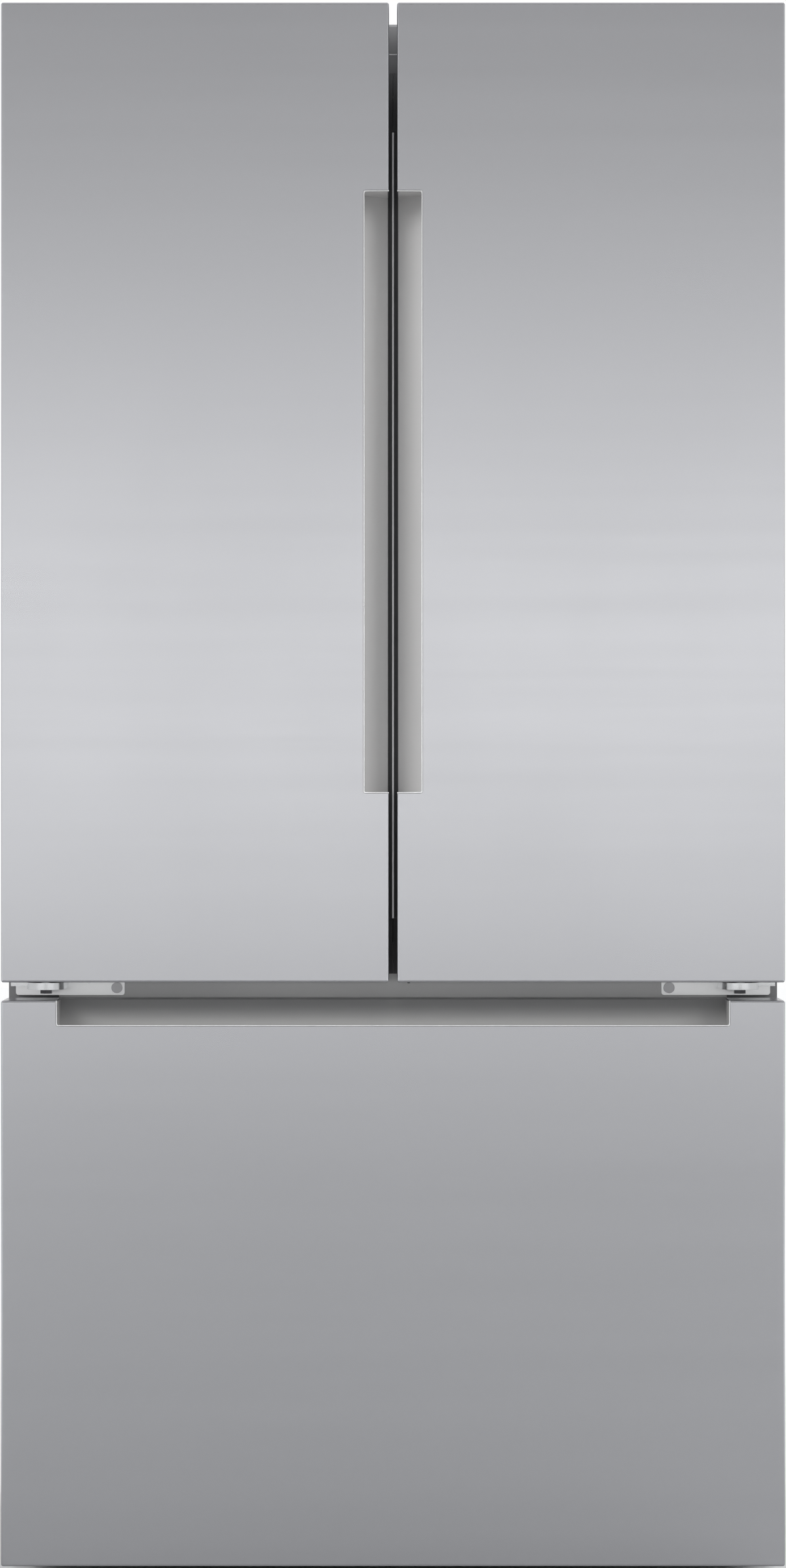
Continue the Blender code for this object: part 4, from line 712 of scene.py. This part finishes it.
door_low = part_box("left_door_skin")[0].z
for word in SIDES:
    dress(f"{word}_top_hinge", f"{word}_top_hinge_plate", zinc_plate, "cabinet", 0.0003)
    bm = ease(copy_of(f"{word}_centre_hinge"), 0.0004)
    for face in bm.faces:
        centre = face.calc_center_median()
        if centre.z < door_low - NUT_DROP and centre.y < front + NUT_BACK:
            face.material_index = 1
        elif abs(abs(centre.x) - BOLT_OUT) < BOLT_RADIUS and centre.y < front + BOLT_BACK:
            face.material_index = 3
        elif centre.y > front + PLATE_BACK:
            face.material_index = 2
    piece(f"{word}_centre_hinge_plate", bm, [chrome, blackened, hinge_zinc, bolt_steel], "cabinet",
          [f"{word}_centre_hinge"])


# ---- Door top caps and inner panels ----
# Each door is closed by a moulded cap at the top and a vacuum-formed white panel inside, whose raised frame
# stands into the cabinet and holds the bins.

cap_grey = moulded_plastic("door_cap_plastic", (0.22, 0.22, 0.225), 0.45)
liner_white = moulded_plastic("liner_white_plastic", (0.80, 0.81, 0.82), 0.30, 300.0, 0.012, 0.00002, 0.02)
for word in SIDES:
    dress(f"{word}_door_top_cap", f"{word}_door_cap", cap_grey, f"{word}_door", 0.0005)
    dress(f"{word}_door_liner", f"{word}_inner_panel", liner_white, f"{word}_door")
panel_grey = moulded_plastic("drawer_panel_grey", (0.50, 0.50, 0.505), 0.35, 300.0, 0.015, 0.00002, 0.02)
dress("drawer_liner", "drawer_inner_panel", panel_grey, "freezer_drawer")


# ---- Liners ----
# Two white tubs, vacuum-formed in one piece each: the walls, floor, ceiling and back of the fridge space and
# of the freezer space.

dress("fridge_liner", "fridge_tub", liner_white, "cabinet")
dress("freezer_liner", "freezer_tub", liner_white, "cabinet")


# ---- Shelves ----
# A pane of tempered glass in a white moulded frame, with a polished strip along the front edge. Two side by
# side above, one full width in the middle, and one that covers the crispers. Ribs on the walls carry them.

def clear_plastic(name, colour, roughness, film=0.05):
    """Clear plastic or glass, faintly tinted, with a trace of film and fine scratches."""
    finish = Finish(name, colour, roughness)
    finish.shader.inputs["Transmission Weight"].default_value = 1.0
    finish.shader.inputs["IOR"].default_value = 1.4
    wipes = finish.effect(wiped_film, Patch=(9.0, 9.0, 9.0), Amount=film)
    finish.tone(wipes.outputs["Clean"])
    finish.roughness(arithmetic(finish.material.node_tree, "ADD", wipes.outputs["Film"], roughness))
    return finish.material


shelf_glass = clear_plastic("tempered_glass", (0.90, 0.965, 0.95), 0.0, 0.02)
SHELF_BORDER = 0.022
SHELF_ARRIS = 0.0022
GLASS_THICK = 0.004
GLASS_LAP = 0.0003      # how far the pane reaches into its frame
STRIP_IN = 0.004        # from the shelf's ends
STRIP_HEIGHT = 0.013
STRIP_DOWN = 0.002      # from the shelf's top to the strip
FINE_ARRIS = 0.0005
SOFT_ARRIS = 0.0018


def shelf_parts(node, name):
    """A shelf's frame, its pane and its front strip."""
    low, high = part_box(node)
    ring = bmesh.new()
    slab(ring, low, high)
    level = [face for face in ring.faces if abs(face.normal.z) > 0.5]
    bmesh.ops.inset_individual(ring, faces=level, thickness=SHELF_BORDER)
    bmesh.ops.delete(ring, geom=level, context="FACES_ONLY")
    openings = [edge for edge in ring.edges if edge.is_boundary]
    bmesh.ops.bridge_loops(ring, edges=openings)
    bmesh.ops.recalc_face_normals(ring, faces=ring.faces[:])
    piece(f"{name}_rim", ease(ring, SHELF_ARRIS, 3), liner_white, "cabinet", [node])
    inset = SHELF_BORDER - GLASS_LAP
    top = high.z - SHELF_ARRIS
    bar(f"{name}_glass", (low.x + inset, low.y + inset, top - GLASS_THICK),
        (high.x - inset, high.y - inset, top), FINE_ARRIS, shelf_glass, "cabinet")
    bar(f"{name}_strip", (low.x + STRIP_IN, low.y - 0.0012, high.z - STRIP_DOWN - STRIP_HEIGHT),
        (high.x - STRIP_IN, low.y + 0.0008, high.z - STRIP_DOWN), FINE_ARRIS, trim_steel_and_highlight, "cabinet")


RIB_HEIGHT = 0.006
RIB_REACH = 0.010       # under the shelf's end
RIB_ROOM = 0.0003       # under the shelf
RIB_ENDS = (0.012, 0.006)   # from the shelf's front and back edges
WALL_ROOM = 0.0022      # from the shelf's end to the wall


def shelf_rib(name, end, side, low, high):
    """A rib with rounded arrises, from the side wall to under one end of a shelf."""
    across = sorted((end + side * WALL_ROOM, end - side * RIB_REACH))
    top = low.z - RIB_ROOM
    bar(name, (across[0], low.y + RIB_ENDS[0], top - RIB_HEIGHT), (across[1], high.y - RIB_ENDS[1], top),
        SOFT_ARRIS, liner_white, "cabinet", 3)


for node in ("crisper_cover", "wide_shelf", "left_upper_shelf", "right_upper_shelf"):
    shelf_parts(node, node.replace("_cover", "_lid"))
    low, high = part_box(node)
    for word, side in SIDES.items():
        end = low.x if side < 0 else high.x
        if abs(end) > RIB_REACH:
            shelf_rib(f"{node}_{word}_rib", end, side, low, high)


# ---- Door bins ----
# Deep clear trays, moulded in one piece and hooked over the inner panel's frame, each with a polished band
# along its outer rim.

clear_bin = clear_plastic("clear_polystyrene", (0.955, 0.975, 0.985), 0.03)
BAND_IN = 0.012         # from the bin's ends
BAND_DOWN = (0.020, 0.006)  # from the bin's rim to the band's lower and upper edges
BAND_OUT = 0.0012
for word in SIDES:
    for level in ("lower", "middle", "upper"):
        node = f"{word}_{level}_bin"
        dress(node, f"{word}_{level}_tray", clear_bin, f"{word}_door", 0.0006)
        low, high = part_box(node)
        bar(f"{word}_{level}_bin_band", (low.x + BAND_IN, high.y - 0.0002, high.z - BAND_DOWN[0]),
            (high.x - BAND_IN, high.y + BAND_OUT, high.z - BAND_DOWN[1]), FINE_ARRIS, trim_steel_and_highlight,
            f"{word}_door")


# ---- Drawers inside the fridge ----
# Two crispers on the floor and a flat drawer above them, each moulded clear in one piece. A white pull is
# clipped along the front of each.

PULL_IN = 0.020         # from the drawer's sides
PULL_OUT = 0.005
PULL_DOWN = (0.026, 0.002)  # from the drawer's rim to the pull's lower and upper edges
for node in ("left_crisper", "right_crisper", "deli_drawer"):
    low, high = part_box(node)
    dress(node, f"{node}_box", clear_bin, node, 0.0006)
    bar(f"{node}_pull", (low.x + PULL_IN, low.y - PULL_OUT, high.z - PULL_DOWN[0]),
        (high.x - PULL_IN, low.y - 0.0002, high.z - PULL_DOWN[1]), SOFT_ARRIS, liner_white, node,
        3)


# ---- Air duct and light ----
# A white moulded cover with outlets lies over the cold air duct. A frosted lens, clipped into the ceiling,
# lies over the lamps.

frosted = clear_plastic("frosted_lens", (0.96, 0.97, 0.975), 0.35, 0.08)
dress("air_duct_cover", "air_duct", liner_white, "cabinet", 0.0006)
dress("light_cover", "lamp_lens", frosted, "cabinet", 0.0006)


# ---- Freezer ----
# A deep white basket hangs between two steel slides, with a clear tray that runs on its rim. Behind them a
# white cover hides the evaporator, and its fan blows through a round opening.

dress("freezer_basket", "deep_basket", liner_white, "freezer_drawer", 0.0008)
dress("freezer_tray", "sliding_tray", clear_bin, "upper_tray", 0.0006)
dress("evaporator_cover", "evaporator_screen", liner_white, "cabinet", 0.0005)
for word in SIDES:
    dress(f"{word}_freezer_rail", f"{word}_rail_channel", zinc_plate, "cabinet", 0.0004)
    dress(f"drawer_{word}_slide", f"{word}_slide_bar", zinc_plate, "freezer_drawer", 0.0004)
dress("evaporator_fan", "evaporator_blades", dark_plastic, "evaporator_fan", 0.0003)
repaint("evaporator", brushed_metal("fin_aluminium", (0.72, 0.73, 0.74), 0.3, 0.03, (200.0, 200.0, 200.0),
                                    0.000003))


# ---- Machine room ----
# The compressor, the condenser and its fan stand on the base behind the rear cover. The compressor and the
# condenser are in black enamel, and the fan's blades are moulded.

black_enamel = powder_paint("black_enamel", (0.022, 0.022, 0.022), 0.3, 600.0, 0.00003)
dress("compressor", "compressor_shell", black_enamel, "cabinet", 0.0005)
repaint("condenser", black_enamel)
dress("condenser_fan", "condenser_blades", dark_plastic, "condenser_fan", 0.0003)


# ---- Feet and rollers ----
# Two levelling feet in front, each a plastic pad on a threaded stud, and two nylon rollers at the back. The
# feet screw up and down, and the rollers turn on pins.

for word in SIDES:
    foot, roller = f"{word}_front_foot", f"{word}_rear_roller"
    dress(foot, f"{word}_levelling_foot", dark_plastic, foot, 0.0005)
    dress(roller, f"{word}_nylon_roller", dark_plastic, roller, 0.0005)
